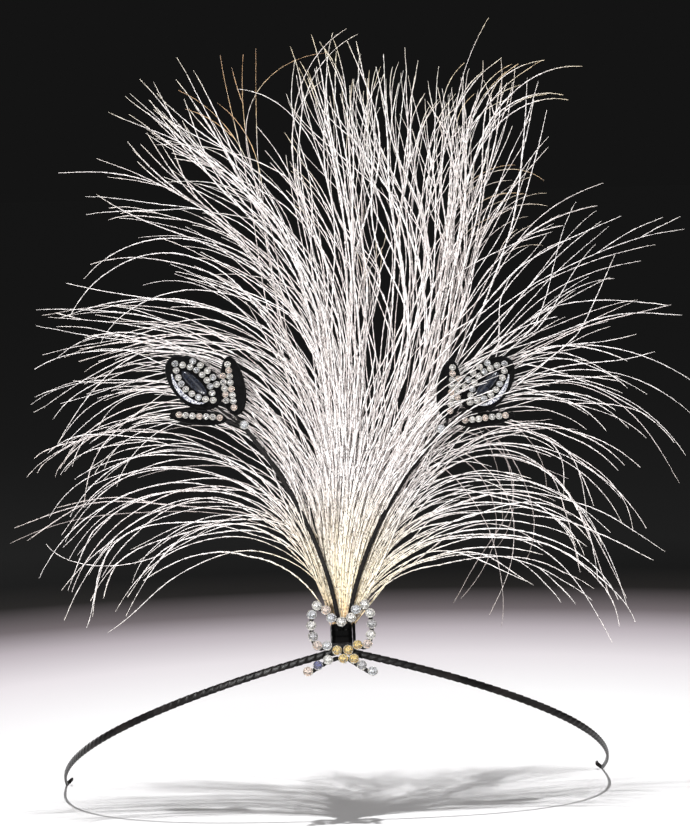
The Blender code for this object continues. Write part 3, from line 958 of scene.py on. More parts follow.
@dataclass
class Bow:
    """The jewelled bow: loops and tails of wound wire, cut stones in front of them, and the knot."""

    wire_front: float = 1.9 * MM
    stone_back: float = 2.9 * MM
    stone: CutStone = field(default_factory=lambda: CutStone(width=2.9 * MM, height=1.7 * MM))
    stone_spin: float = 37  # degrees from each stone to the next
    stone_tip: float = 3.5  # degrees
    tip_rates: tuple = (2.1, 1.7)  # up and sideways, from stone to stone
    wire: WoundWire = field(
        default_factory=lambda: WoundWire(WIRE_TAPE, 1.2 * MM, 1.2 * MM, turn=1.15 * MM, corners=10)
    )
    knot: tuple = (-2.6, 3.25, 1.35, 7.2, 2.5, -3.7)  # left, right, bottom, top, front, back in mm
    # the narrow end of ribbon beside the knot: out, up from its foot, shorter, back from its front, in mm
    strip: tuple = (0.62, 0.2, 0.5, 0.55)
    middle: float = 0.3  # side of the loops' middle in mm
    # side from the middle and height of the seats round one loop, from the top of the knot to its foot, in mm
    loop_seats: tuple = (
        (2.75, 8.3), (4.3, 10.8), (6.9, 12.3), (8.3, 9.5), (8.6, 6.2), (8.3, 3.0), (7.2, 0.1), (4.3, 0.0),
        (1.55, -1.4),
    )
    loop_wire_start: tuple = (1.0, 8.1)
    loop_wire_end: tuple = (0.9, -1.3)
    tail_wire_start: tuple = (0.9, -3.0)
    # side, first seat, step from seat to seat, stones
    tails: tuple = (
        (Side.LEFT, (-4.0, -4.2), (-2.85, -1.7), 3),
        (Side.RIGHT, (5.6, -6.1), (3.0, -2.0), 2),
    )
    crossing_seats: tuple = ((0.5, -4.1), (3.5, -4.1))
    top_seat: tuple = (0.0, 7.2)
    # tints of the stones that aren't plain clear, by the node's number
    tints: dict = field(default_factory=lambda: {
        2: Tint.SILVER, 3: Tint.ROSE, 5: Tint.SILVER, 7: Tint.SMOKE, 8: Tint.ROSE, 9: Tint.SILVER,
        10: Tint.GOLD, 12: Tint.SILVER, 15: Tint.SMOKE, 17: Tint.ROSE, 18: Tint.GOLD, 19: Tint.GOLD,
        20: Tint.GOLD, 21: Tint.GOLD, 23: Tint.VIOLET, 24: Tint.ROSE, 25: Tint.SMOKE, 26: Tint.SILVER,
    })

    def point(self, side: float, height: float, front: float) -> Vector:
        """World place of a seat given in mm of side and height."""
        return PLUME_FRAME.point(side * MM, height * MM, front)

    def build_wires(self) -> None:
        """Wind the loops and the tails."""
        for side in Side:
            seats = [
                self.point(self.middle + side.value * across, up, self.wire_front)
                for across, up in (self.loop_wire_start, *self.loop_seats[1:-1], self.loop_wire_end)
            ]
            loop = self.wire.along(f"wound_bow_loop_{side.label}", smooth_line(seats, 60))
            hand_over(loop, f"bow_loop_{side.label}", Slot.WIRE)
        for side, first, step, count in self.tails:
            last = (first[0] + step[0] * (count - 1), first[1] + step[1] * (count - 1))
            across, up = self.tail_wire_start
            seats = [self.point(self.middle + side.value * across, up, self.wire_front)]
            seats += [self.point(*seat, self.wire_front) for seat in (first, last)]
            tail = self.wire.along(f"wound_bow_tail_{side.label}", smooth_line(seats, 24))
            hand_over(tail, f"bow_tail_{side.label}", Slot.WIRE)

    def build_stones(self) -> None:
        """Cut every stone of the bow and set it in its cup."""
        seats = [(self.middle + self.top_seat[0], self.top_seat[1])]
        for side in Side:
            seats += [(self.middle + side.value * across, up) for across, up in self.loop_seats]
        seats += self.crossing_seats
        for _, first, step, count in self.tails:
            seats += [(first[0] + step[0] * index, first[1] + step[1] * index) for index in range(count)]
        for number, (across, up) in enumerate(seats, start=1):
            stone = self.stone.build(f"cut_bow_stone_{number:02d}", self.tints.get(number, Tint.CLEAR))
            # each stone was set by hand, so each is turned in its cup and tips a little
            spin = Matrix.Rotation(radians(self.stone_spin * number), 4, "Y")
            nod = Matrix.Rotation(radians(self.stone_tip * sin(self.tip_rates[0] * number)), 4, "X")
            sway = Matrix.Rotation(radians(self.stone_tip * cos(self.tip_rates[1] * number)), 4, "Z")
            seat = Matrix.Translation((across * MM, -self.stone_back, up * MM))
            move_mesh(stone, PLUME_FRAME.matrix() @ seat @ (nod @ sway) @ spin)
            hand_over(stone, f"bow_stone_{number:02d}", Slot.STONE)

    def upright(self, side: float, foot: float, length: float, front: float, steps: int) -> list[Vector]:
        """Points straight up from a foot, all given in mm."""
        return [self.point(side, foot + length * step / steps, front * MM) for step in range(steps + 1)]

    def build_knot(self) -> None:
        """Wind the knot: a block of ribbon round the roots, with one narrow end of ribbon down its right."""
        left, right, bottom, top, front, back = self.knot
        block = WoundWire(
            KNOT_RIBBON, (front - back) * MM, (right - left) * MM, turn=1.9 * MM, squareness=0.42, slant=0.0,
            lip=0.012, corners=32,
        )
        core = self.upright((left + right) / 2, bottom, top - bottom, (front + back) / 2, 12)
        ribbon = WoundWire(
            KNOT_RIBBON, 0.85 * MM, 0.7 * MM, turn=3.4 * MM, squareness=0.6, slant=0.2, lip=0.05, corners=12
        )
        out, up, shorter, behind = self.strip
        end = self.upright(right + out, bottom + up, top - bottom - shorter, front - behind, 8)
        knot = join("ribbon_knot", [block.along("ribbon_knot", core), ribbon.along("knot_strip", end)])
        hand_over(knot, "bow_knot", Slot.WIRE)

    def build(self) -> None:
        """Build the whole bow."""
        self.build_wires()
        self.build_knot()
        self.build_stones()


# Leaf sprays


@dataclass
class LeafSpray:
    """A wound stem with three velvet leaves, their small stones, and one cut stone at its end."""

    side: Side
    foot: float
    lean_root: float
    lean_tip: float
    length: float
    root_height: float = 7.5 * MM
    stem_radius: float = 0.65 * MM
    stem_bend: float = 0.75
    stem_points: int = 22
    base_front: float = 0.35 * MM
    forward: float = 0.02
    branch_thinning: float = 0.6
    branch_reach: float = 5.0 * MM
    leaf_thickness: float = 1.0 * MM
    seat_gap: float = 0.3 * MM
    branch_lift: float = 0.26  # mm
    # name, lean away from the middle, foot out from and up from the stem's end, length, width, layer (mm)
    leaves: tuple = (
        ("inner", radians(6), (2.0, 2.7), 19.0, 7.6, 1.35),
        ("middle", radians(42), (7.5, 6.4), 20.8, 13.4, 0.0),
        ("outer", radians(84), (4.9, 1.5), 17.0, 4.8, 1.35),
    )
    stone_tilt: float = radians(9)  # the small stones sit a little askew
    tilt_rate: float = 5.3  # from stone to stone
    stone_spin: float = 41  # degrees from each stone to the next
    stone_sink: float = 0.3 * MM
    # outward from the leaf's middle, first stone from its foot (mm), stones
    rows: dict = field(default_factory=lambda: {
        "inner": ((0.6, 2.2, 8), (2.5, 4.6, 5)), "outer": ((0.0, 2.2, 7),),
    })
    ring_size: tuple = (8.0, 3.3, 0.4)  # half length, half width, lower than the leaf's middle, in mm
    ring_doubled: tuple = (2, 3, 4, 5, 6)  # stones of the ring that have one more beside them
    ring_points: int = 180
    leaf_corners: int = 48
    leaf_taper: tuple = (0.25, 0.45)  # how much a leaf narrows to its tip, and where it has its full width
    leaf_wall: float = 0.45  # height of the leaf's edge in parts of its thickness
    # from the edge to the bed: how far in and how much further forward, in mm
    padding: tuple = ((0.28, 0.5), (0.42, 0.08), (0.35, -0.35))
    dent: float = 0.05 * MM
    dented_from: float = 0.3  # in parts of the thickness
    # half width, half thickness, and half length in parts of the leaf's
    heart_size: tuple = (1.7 * MM, 0.75 * MM, 0.25)
    heart_level: float = 0.55  # in parts of the leaf's thickness
    crease: tuple = (0.25 * MM, 0.5 * MM)  # height, half width
    satin_inset: float = 0.76  # the satin edge's place between the leaf's middle and its rim
    satin_from: float = radians(24)
    satin_to: float = radians(140)
    satin_points: int = 24
    satin_tip: float = 0.2  # thickness at its tips
    small_stone: CutStone = field(default_factory=lambda: CutStone(1.97 * MM, 1.15 * MM, rim=0.05 * MM))
    end_stone: CutStone = field(default_factory=lambda: CutStone(2.7 * MM, 1.7 * MM))
    tints: tuple = (
        Tint.CLEAR, Tint.ROSE, Tint.CLEAR, Tint.SILVER, Tint.CLEAR, Tint.ROSE, Tint.CLEAR, Tint.GOLD,
        Tint.CLEAR,
    )

    def stem_line(self) -> list[Vector]:
        """Lay the stem's mid-line, with a lean that grows from its foot to its tip.

        Returns:
            Its points as side, -front and height.
        """
        step = self.length / (self.stem_points - 1)
        side, height = self.foot, self.root_height
        line = []
        for index in range(self.stem_points):
            front = self.base_front + self.forward * (height - self.root_height)
            line.append(Vector((side, -front, height)))
            part = (index + 0.5) / (self.stem_points - 1)
            lean = self.lean_root + (self.lean_tip - self.lean_root) * part**self.stem_bend
            side += step * sin(lean)
            height += step * cos(lean)
        return line

    def build_stem(self) -> None:
        """Wind the stem and its branches."""
        line = self.stem_line()
        end = line[-1]
        matrix = PLUME_FRAME.matrix()
        width = 2 * self.stem_radius
        thick = WoundWire(WIRE_TAPE, width, width, turn=1.5 * MM, lip=0.08, slant=0.4, corners=10)
        width *= self.branch_thinning
        thin = WoundWire(WIRE_TAPE, width, width, turn=1.2 * MM, lip=0.08, corners=8)
        parts = [thick.along("stem", resample([matrix @ point for point in line], 60))]
        for name, lean, (out, up), _, _, layer in self.leaves:
            leaf_foot = end + Vector((self.side.value * out * MM, -(layer + self.branch_lift) * MM, up * MM))
            reach = leaf_foot + Vector((self.side.value * sin(lean), 0, cos(lean))) * self.branch_reach
            seats = [matrix @ seat for seat in (end, end.lerp(leaf_foot, 0.5), leaf_foot, reach)]
            parts.append(thin.along(f"branch_{name}", smooth_line(seats, 24)))
        stem = join(f"wound_stem_{self.side.label}", parts)
        hand_over(stem, f"motif_stem_{self.side.label}", Slot.WIRE)

    def outline(self, turn: float, length: float, width: float) -> tuple[float, float]:
        """Read a point of the leaf's edge.

        Args:
            turn: The turn round the leaf, from its foot.
            length: The leaf's length in mm.
            width: Its width in mm.

        Returns:
            The point's place across and along the leaf, in mm.
        """
        along = (1 - cos(turn)) / 2
        across = sin(turn) * (1 - self.leaf_taper[0] * (along - self.leaf_taper[1]))
        return across * width / 2, along * length

    def petal(self, name: str, length: float, width: float) -> bpy.types.Object:
        """Model one velvet leaf: a padded rim round a sunk bed.

        Args:
            name: The piece's name.
            length: The leaf's length in mm.
            width: Its width in mm.

        Returns:
            The leaf, standing on its foot and facing -Y.
        """
        leaf = primitive(
            bpy.ops.mesh.primitive_circle_add, vertices=self.leaf_corners, radius=1, fill_type="NGON",
            rotation=(pi / 2, 0, 0),
        )
        for vertex in leaf.data.vertices:
            across, along = self.outline(atan2(vertex.co.x, -vertex.co.z), length, width)
            vertex.co = (across * MM, 0.0, along * MM)
        with edit_mode(leaf):
            bpy.ops.mesh.normals_make_consistent(inside=False)
            extrude(0, -self.leaf_wall * self.leaf_thickness, 0)
            for inset, rise in self.padding:
                bpy.ops.mesh.inset(thickness=inset * MM)
                bpy.ops.transform.translate(value=(0, -rise * MM, 0))
            bpy.ops.mesh.poke()
            bpy.ops.mesh.subdivide(number_cuts=2)
        face_out(leaf)
        soften = leaf.modifiers.new("soften", "SUBSURF")
        soften.levels = soften.render_levels = 1
        apply_modifiers(leaf)
        # the front is dented as soft cloth is, every few millimetres
        for vertex in leaf.data.vertices:
            if vertex.co.y < -self.dented_from * self.leaf_thickness:
                across, along = vertex.co.x / MM, vertex.co.z / MM
                vertex.co.y += self.dent * (sin(along * 2.3 + across * 1.1) + sin(across * 3.1 - 1.0))
        bpy.ops.object.shade_smooth()
        LEAF_VELVET.put_on(leaf)
        leaf.name = name
        return leaf

    def heart_fold(self, length: float) -> bpy.types.Object:
        """Model the glossy fold of satin inside the ring of stones.

        Args:
            length: The leaf's length in mm.

        Returns:
            The fold, in its place on the leaf.
        """
        half_width, half_thickness, share = self.heart_size
        level = -self.heart_level * self.leaf_thickness
        middle = (0, level, (length / 2 - self.ring_size[2]) * MM)
        fold = primitive(
            bpy.ops.mesh.primitive_uv_sphere_add, (half_width, half_thickness, length * share * MM),
            segments=20, ring_count=12, radius=1, location=middle,
        )
        rise, reach = self.crease
        for vertex in fold.data.vertices:
            if vertex.co.y < level:
                vertex.co.y -= rise * max(0.0, 1 - abs(vertex.co.x) / reach)
        bpy.ops.object.shade_smooth()
        LEAF_SATIN.put_on(fold)
        return fold

    def satin_edge(self, length: float, width: float) -> bpy.types.Object:
        """Wind the narrow turned edge of satin outside the ring, on the middle leaf's lower side; its pale
        bluish white is a painted highlight.

        Args:
            length: The leaf's length in mm.
            width: Its width in mm.

        Returns:
            The edge, in its place on the leaf.
        """
        line, narrowing = [], []
        for index in range(self.satin_points):
            part = index / (self.satin_points - 1)
            turn = self.satin_from + (self.satin_to - self.satin_from) * part
            across, along = self.outline(turn, length, width)
            side = self.side.value * across * self.satin_inset
            height = length / 2 + (along - length / 2) * self.satin_inset
            line.append(Vector((side * MM, -self.leaf_thickness, height * MM)))
            narrowing.append(self.satin_tip + (1 - self.satin_tip) * sin(pi * part))
        # its pale colour is a painted highlight
        fold = WoundWire(SATIN_EDGE_PAINTED_HIGHLIGHT, 0.9 * MM, 1.5 * MM, turn=0.9 * MM, slant=0.0, lip=0.03, corners=10)
        return fold.along("satin_edge", line, narrowing)

    def ring(self, length: float) -> list[tuple[float, float]]:
        """Seats round the middle leaf's heart, doubled on the side of the inner leaf.

        Args:
            length: The leaf's length in mm.

        Returns:
            The seats across and along the leaf, in mm.
        """
        pitch = self.small_stone.width / MM
        half_length, half_width, drop = self.ring_size
        centre = Vector((0, length / 2 - drop, 0))
        ring = []
        for index in range(self.ring_points + 1):
            turn = 2 * pi * index / self.ring_points
            across = -self.side.value * half_width * sin(turn) * abs(sin(turn))
            ring.append(centre + Vector((across, -half_length * cos(turn), 0)))
        around = sum((after - before).length for before, after in zip(ring, ring[1:]))
        # an even number, so that both points of the ring hold a stone
        seats = resample(ring, 2 * int(around / pitch / 2) + 1)[:-1]
        doubled = []
        for index in self.ring_doubled:
            along = (seats[index + 1] - seats[index - 1]).normalized()
            beside = Vector((-self.side.value * along.y, self.side.value * along.x, 0))
            doubled.append(seats[index] + beside * pitch)
        return [(seat.x, seat.y) for seat in seats + doubled]

    def seats(self, name: str, length: float) -> list[tuple[float, float]]:
        """Seats of a leaf's small stones: rows, or a pointed ring round the middle leaf's heart.

        Args:
            name: The leaf.
            length: Its length in mm.

        Returns:
            The seats across and along the leaf, in mm.
        """
        if name == "middle":
            return self.ring(length)
        pitch = self.small_stone.width / MM
        seats = []
        for outward, first, count in self.rows[name]:
            seats += [(self.side.value * outward, first + pitch * index) for index in range(count)]
        return seats

    def build_leaves(self) -> None:
        """Make the three leaves with their stones, and the end stone."""
        end = self.stem_line()[-1]
        front = -end.y + self.stem_radius + self.seat_gap
        for name, lean, (out, up), length, width, layer in self.leaves:
            parts = [self.petal(f"velvet_leaf_{name}_{self.side.label}", length, width)]
            if name == "middle":
                parts += [self.heart_fold(length), self.satin_edge(length, width)]
            # the tints follow each other in an order of their own on each leaf
            for index, (across, along) in enumerate(self.seats(name, length)):
                tint = self.tints[(index * 3 + len(name)) % len(self.tints)]
                stone = self.small_stone.build("small_stone", tint, claws=False)
                seat = Matrix.Translation((across * MM, -self.leaf_thickness + self.stone_sink, along * MM))
                spin = Matrix.Rotation(radians(self.stone_spin * index), 4, "Y")
                askew = Matrix.Rotation(self.stone_tilt * sin(self.tilt_rate * index), 4, "X")
                move_mesh(stone, seat @ spin @ askew)
                parts.append(stone)
            leaf = join(parts[0].name, parts)
            turn = Matrix.Rotation(self.side.value * lean, 4, "Y")
            foot = Vector((end.x + self.side.value * out * MM, -front - layer * MM, end.z + up * MM))
            move_mesh(leaf, PLUME_FRAME.matrix() @ Matrix.Translation(foot) @ turn)
            hand_over(leaf, f"leaf_{name}_{self.side.label}", Slot.LEAF)
        stone = self.end_stone.build(f"cut_end_stone_{self.side.label}", Tint.SILVER)
        move_mesh(stone, PLUME_FRAME.matrix() @ Matrix.Translation((end.x, -front, end.z)))
        hand_over(stone, f"motif_stone_{self.side.label}", Slot.STONE)

    def build(self) -> None:
        """Build the whole spray."""
        self.build_stem()
        self.build_leaves()


# Plume


@dataclass
class Strand:
    """One strand as a line of points in the plume frame, with its thickness and colour."""

    line: np.ndarray
    radius: np.ndarray
    warmth: np.ndarray
    shade: float


@dataclass(frozen=True)
class Bulge:
    """How a bunch bulges forward to pass before a stem or its leaves, in mm."""

    forward: float = 0.0
    reach: float = 40.0  # how far from the root it is furthest forward
    span: float = 14.0


STRAIGHT = Bulge()
OVER_STEM = Bulge(5.5, 40.0, 15.0)
OVER_LEAVES = Bulge(9.5, 66.0, 26.0)
FAR_OVER_LEAVES = Bulge(13.5, 66.0, 27.0)


@dataclass(frozen=True)
class Bunch:
    """Strands that keep together on one arc of the fountain."""

    name: str
    strands: int
    station: float  # side of its root in the knot, from -1 to 1
    leans: tuple  # degrees from upright at the root, a third, two thirds and the tip
    length: float  # mm
    width: tuple  # half width on the way and at the tips, in mm
    back: float = 2.0  # lean back in degrees
    grey: float = 0.0  # how far in the shade it lies
    tan: float = 0.1  # warmth of its tips
    bulge: Bulge = STRAIGHT
    ragged: float = 0.3  # how much shorter its shortest strands are
    plumy: float = 1.0  # thickness towards the tips, where the barbs stay on


@dataclass(frozen=True)
class Fill:
    """Strands that stand between the bunches, on ways blended from their neighbours."""

    name: str
    strands: int
    range: tuple  # first and last row of the fountain they stand between
    back: tuple  # lean back from and to, in degrees
    scale: tuple  # length in parts of the bunches', from and to
    radius: float = 0.215 * MM
    grey: float = 0.0


@dataclass
class Plume:
    """The fountain of strands that stands in the knot."""

    root_height: float = 7.5 * MM
    root_middle: float = 0.9  # mm to the side
    root_half_width: float = 2.5  # mm
    root_run: float = 1.2  # mm from the knot to where the length of a bunch is counted from
    front: float = -0.7 * MM
    ring_gap: float = 1.15 * MM
    radius: float = 0.215 * MM
    radius_range: tuple = (0.75, 1.15)  # from strand to strand
    tan_thinning: float = 0.75
    barbs: tuple = (0.72, 1.28)  # thickness from ring to ring
    root_depth: float = 1.6  # mm behind the knot's front
    root_lift: float = 0.2 * MM
    # how much strands differ: lean back in degrees, side and depth of the root and depth on the way in mm
    scatter: tuple = (1.5, 0.3, 0.5, 1.2)
    bulge_range: tuple = (0.85, 1.15)
    # forks: where they leave, degrees they turn by, length in parts of the strand's end, and thickness
    fork_from: tuple = (0.62, 0.93)
    fork_turn: tuple = (6, 17)
    fork_length: tuple = (0.7, 1.0)
    fork_thinning: float = 0.8
    fork_share: float = 0.25  # of the strands of a bunch that isn't plumy
    seed: int = 8712
    length_most: float = 1.04  # of the longest strand, in parts of its bunch's
    loose_in_bunch: float = 5.0  # degrees
    loose_in_fill: float = 9.0
    # sways on the way: degrees, fewest and most waves
    sways: tuple = ((11.0, 0.6, 1.4), (8.0, 1.5, 3.5))
    kink: float = 0.9  # degrees from ring to ring
    # part of the way, and how far the strands keep apart there in parts of the bunch's two half widths
    spread: tuple = (((0, 0.35, 0.75, 1.0), (0.1, 1, 1, 0)), ((0.5, 1.0), (0, 1)))
    # the warmth at a distance from the root in mm
    root_tan: tuple = ((0, 5, 13, 28, 46), (0.95, 0.75, 0.45, 0.28, 0.0))
    # from the lowest bunch on the left over the top to the lowest on the right
    fountain: tuple = (
        Bunch("left_low", 8, -0.9, (-3, -60, -121, -153), 111, (3.4, 2.0), ragged=0.5),
        Bunch("left_mid", 12, -0.7, (-17, -25, -82, -150), 126, (4.2, 2.4), bulge=OVER_STEM),
        Bunch("left_over", 16, -0.5, (-13, -14, -68, -117), 149, (4.4, 4.0), bulge=OVER_STEM, ragged=0.45),
        Bunch("left_wide", 13, -0.4, (-16, -7, -68, -99), 161, (4.0, 3.2), bulge=OVER_STEM, ragged=0.45),
        Bunch("left_upper_a", 12, -0.3, (-6, -4, -50, -128), 172, (4.0, 4.5), ragged=0.65),
        Bunch("left_upper_b", 9, -0.3, (-3, -4, -45, -118), 180, (4.5, 6.0), ragged=0.5),
        Bunch("left_upper_c", 5, -0.2, (1, -2, -28, -100), 185, (4.5, 6.0), ragged=0.5),
        Bunch("left_tuft", 12, -0.1, (-12, 1, -31, -38), 190, (3.4, 3.2), 2, tan=0.3, ragged=0.16, plumy=1.5),
        Bunch("left_column_a", 6, 0.0, (-5, 3, -12, -32), 165, (2.8, 4.0), 3),
        Bunch("left_column_b", 4, 0.1, (-12, 6, -5, -16), 160, (3.5, 4.0), 4),
        Bunch("clump", 6, 0.1, (3, 5, -1, -11), 190, (1.6, 1.7), 2, 0.0, 0.6, ragged=0.12, plumy=1.6),
        Bunch("centre_mass", 17, 0.2, (-9, 18, -2, 8), 187, (3.6, 6.0), 3, 0.0, 0.25, ragged=0.16, plumy=1.6),
        Bunch("centre_cross", 8, 0.3, (-7, 21, 7, 15), 183, (4.4, 6.5), 5, 0.1, 0.2, ragged=0.2, plumy=1.6),
        Bunch("right_mass", 8, 0.4, (2, 23, 10, 0), 187, (3.4, 5.0), 4, 0.0, 0.25, ragged=0.14, plumy=1.6),
        Bunch("right_a", 8, 0.5, (4, 24, 36, 57), 160, (5.0, 6.0), ragged=0.4),
        Bunch("right_b", 9, 0.6, (4, 28, 47, 71), 166, (4.0, 5.0), bulge=OVER_STEM, ragged=0.45),
        Bunch("right_c", 5, 0.6, (6, 31, 60, 87), 162, (3.5, 4.0), bulge=OVER_LEAVES, ragged=0.5),
        Bunch("right_d", 8, 0.6, (4, 33, 60, 82), 143, (3.5, 4.0), bulge=FAR_OVER_LEAVES, ragged=0.5),
        Bunch("right_arc_b", 10, 0.6, (7, 33, 82, 165), 149, (4.0, 4.0), bulge=OVER_STEM, ragged=0.5),
        Bunch("right_arc_c", 6, 0.6, (24, 32, 94, 170), 141, (4.0, 4.0), 3, 0.15, ragged=0.6),
        Bunch("right_arc_d", 6, 0.7, (28, 41, 124, 164), 149, (4.0, 3.0), 2, ragged=0.6),
        Bunch("right_arc_e", 5, 0.7, (16, 50, 109, 131), 122, (3.5, 2.2), ragged=0.6),
        Bunch("right_arc_f", 9, 0.8, (15, 50, 96, 163), 96, (3.0, 3.0), ragged=0.4),
        Bunch("right_low", 7, 1.0, (12, 71, 112, 165), 101, (2.2, 2.5), ragged=0.5),
    )
    # what stands out of the fountain or lies across it
    singles: tuple = (
        Bunch("right_over", 4, 0.6, (4, 32, 58, 76), 118, (4.0, 4.0), bulge=FAR_OVER_LEAVES, ragged=0.35),
        Bunch("left_low_loose", 4, -0.9, (1, -59, -122, -168), 98, (1.6, 1.6)),
        Bunch("low_left", 1, -1.0, (2, -71, -124, -118), 90, (0.2, 0.2)),
        Bunch("stray_left", 1, -0.8, (9, -67, -110, -21), 108, (0.3, 0.3)),
        Bunch("grey_left", 2, -0.4, (17, -60, -88, -114), 121, (0.3, 1.5), 8, 0.6),
        Bunch("left_reach", 2, 0.0, (1, -5, -35, -88), 193, (2.0, 4.0)),
        Bunch("lone_arch", 1, 0.1, (22, -6, -1, -81), 182, (0.2, 0.2), 1, ragged=0.04),
        Bunch("tan_fork", 3, 0.0, (2, -11, -8, 1), 188, (0.1, 1.8), 1, 0.2, 1.0, ragged=0.06),
        Bunch("tan_arm", 1, 0.0, (2, -11, -4, -62), 181, (0.1, 0.1), 1, 0.2, 1.0, ragged=0.02),
        Bunch("tan_arch", 1, 0.0, (-13, -7, -10, 78), 198, (0.1, 0.1), 1, 0.2, 1.0, ragged=0.02),
        Bunch("second_fork", 2, 0.0, (-1, -2, -5, 1), 186, (0.3, 1.8), 2, 0.1, 0.6, ragged=0.08),
        Bunch("second_arm", 2, 0.0, (-10, 0, -7, 58), 193, (0.2, 0.6), 2, 0.1, 0.6, ragged=0.05),
        Bunch("soft_tuft", 4, 0.2, (13, 2, 4, -49), 161, (1.2, 3.0), 6, 0.3, 0.8, plumy=1.5),
        Bunch("clump_fork", 4, 0.2, (-1, 6, -2, 13), 188, (1.2, 2.0), 2, 0.1, 0.5, plumy=1.5),
        Bunch("top_wisp", 2, 0.3, (2, 21, 6, 30), 198, (0.2, 1.0), 2, 0.2, 0.9, ragged=0.1),
        Bunch("right_curl", 6, 0.3, (-9, 26, 5, 73), 199, (2.6, 2.8), 3, 0.1, 0.8, ragged=0.14, plumy=1.6),
        Bunch("right_soft", 5, 0.3, (-5, 25, 11, 90), 171, (2.0, 4.5), 8, 0.5, 0.5, plumy=1.5),
        Bunch("right_tan", 5, 0.3, (-24, 30, 3, 127), 188, (1.5, 2.2), 10, 0.5, 0.9),
        Bunch("far_curl", 3, 0.3, (10, 24, 21, 32), 174, (1.0, 2.5), 3),
        Bunch("right_up", 2, 0.5, (-1, 31, 39, 49), 181, (1.5, 3.0)),
        Bunch("right_arc_a", 2, 0.6, (23, 25, 78, 140), 164, (1.0, 4.0), bulge=OVER_LEAVES),
        Bunch("right_lowest", 2, 1.0, (39, 59, 111, 125), 74, (0.3, 0.8)),
        Bunch("falling_grey", 4, 1.0, (30, 20, 136, 209), 139, (3.5, 4.0), 14, 0.7),
        Bunch("falling_grey_b", 3, 1.0, (40, 10, 102, 206), 153, (3.0, 4.0), 16, 0.8),
    )
    fills: tuple = (
        Fill("left_over_leaves", 18, (1.2, 2.4), (0, 5), (0.7, 1.04)),
        Fill("middle_gap", 6, (10.1, 11.0), (2, 6), (0.75, 1.02), 0.2 * MM, 0.1),
        Fill("left_gap", 15, (0.25, 0.9), (0, 5), (0.85, 1.04)),
        Fill("front_left", 46, (1, 8), (0, 6), (0.4, 0.85)),
        Fill("front_right", 16, (14, 23), (0, 6), (0.5, 1.0)),
        Fill("right_base", 34, (17, 23), (0, 8), (0.3, 0.62)),
        Fill("middle", 16, (0, 23), (8, 20), (0.5, 0.95), 0.21 * MM, 0.3),
        Fill("back", 16, (2, 21), (22, 36), (0.5, 0.85), 0.21 * MM, 0.6),
        Fill("heart", 200, (2, 21), (-1, 7), (0.14, 0.38), 0.32 * MM, -0.15),
        Fill("core", 60, (8.5, 10.6), (-1, 4), (0.25, 0.48), 0.34 * MM, -0.2),
    )

    def lay(self, rng: np.random.Generator, bunch: Bunch, scale: float, loose: float) -> np.ndarray:
        """Lay one strand of a bunch.

        Args:
            rng: The seeded random source.
            bunch: The bunch it belongs to.
            scale: Its length in parts of the bunch's.
            loose: How far its lean strays from the bunch's at its tip, in degrees.

        Returns:
            Points as side, back and height in the plume frame.
        """
        # a narrow bunch keeps closer to its way than a wide one
        stray = min(1.0, 0.12 + 0.2 * bunch.width[0])
        length = (bunch.length + self.root_run) * scale * MM
        count = max(8, int(length / self.ring_gap))
        whole = np.arange(count + 1) / count
        part = (whole[1:] + whole[:-1]) / 2 * min(scale, 1.0)
        lean = through_four(bunch.leans, part) + rng.normal(0, loose) * stray * part
        # a slow sway that grows all the way, and a quicker one that soon has its full strength
        for (strength, *waves), growth in zip(self.sways, (stray * part, np.minimum(1, 3 * part))):
            swing = rng.normal(0, strength)
            lean += swing * growth * np.sin(2 * pi * (rng.uniform(*waves) * part + rng.uniform(0, 1)))
        kinks = np.cumsum(rng.normal(0, self.kink, count)) * stray * part
        lean = np.radians(lean + kinks - kinks.mean() * part)
        side = np.concatenate([[0.0], np.cumsum(length / count * np.sin(lean))])
        up = np.concatenate([[0.0], np.cumsum(length / count * np.cos(lean))])
        off = sum(
            rng.normal(0, 1) * MM * np.interp(whole * scale, places, shares) * width
            for (places, shares), width in zip(self.spread, bunch.width)
        )
        tilting, rooting, sinking, weaving = self.scatter
        tilt = radians(bunch.back + rng.normal(0, tilting))
        start = (self.root_middle + self.root_half_width * bunch.station + rng.normal(0, rooting)) * MM
        depth = (self.root_depth + rng.normal(0, sinking)) * MM + length * whole * sin(tilt)
        depth += rng.normal(0, weaving) * MM * whole * np.sin(pi * whole * rng.uniform(0.6, 1.6))
        reach = np.hypot(side, up) / MM
        nearness = np.exp(-(((reach - bunch.bulge.reach) / bunch.bulge.span) ** 2))
        depth -= bunch.bulge.forward * MM * rng.uniform(*self.bulge_range) * nearness
        ahead = np.concatenate([lean[:1], lean])
        return np.stack([
            start + side + off * np.cos(ahead),
            -self.front + depth,
            self.root_height + self.root_lift + (up - off * np.sin(ahead)) * cos(tilt),
        ], axis=1)

    def colour(self, rng: np.random.Generator, line: np.ndarray, tan_tip: float) -> np.ndarray:
        """Colour a strand: tan at the root, cream above it, white, and some tips tan again.

        Args:
            rng: The seeded random source.
            line: The strand's points.
            tan_tip: Warmth of its tip.

        Returns:
            The warmth at each point.
        """
        steps = np.linalg.norm(np.diff(line, axis=0), axis=1)
        left = (steps.sum() - np.concatenate([[0.0], np.cumsum(steps)])) / MM
        reach = np.hypot(line[:, 0], line[:, 2] - self.root_height) / MM
        root = np.interp(reach, *self.root_tan) * rng.uniform(0.5, 1.1)
        # the warmer a tip, the further down it goes
        tip = np.interp(left, (0, 4 + 18 * tan_tip**4, 12 + 22 * tan_tip**4), (tan_tip, tan_tip * 0.7, 0.0))
        return np.clip(np.maximum(root, tip), 0.0, 1.0)

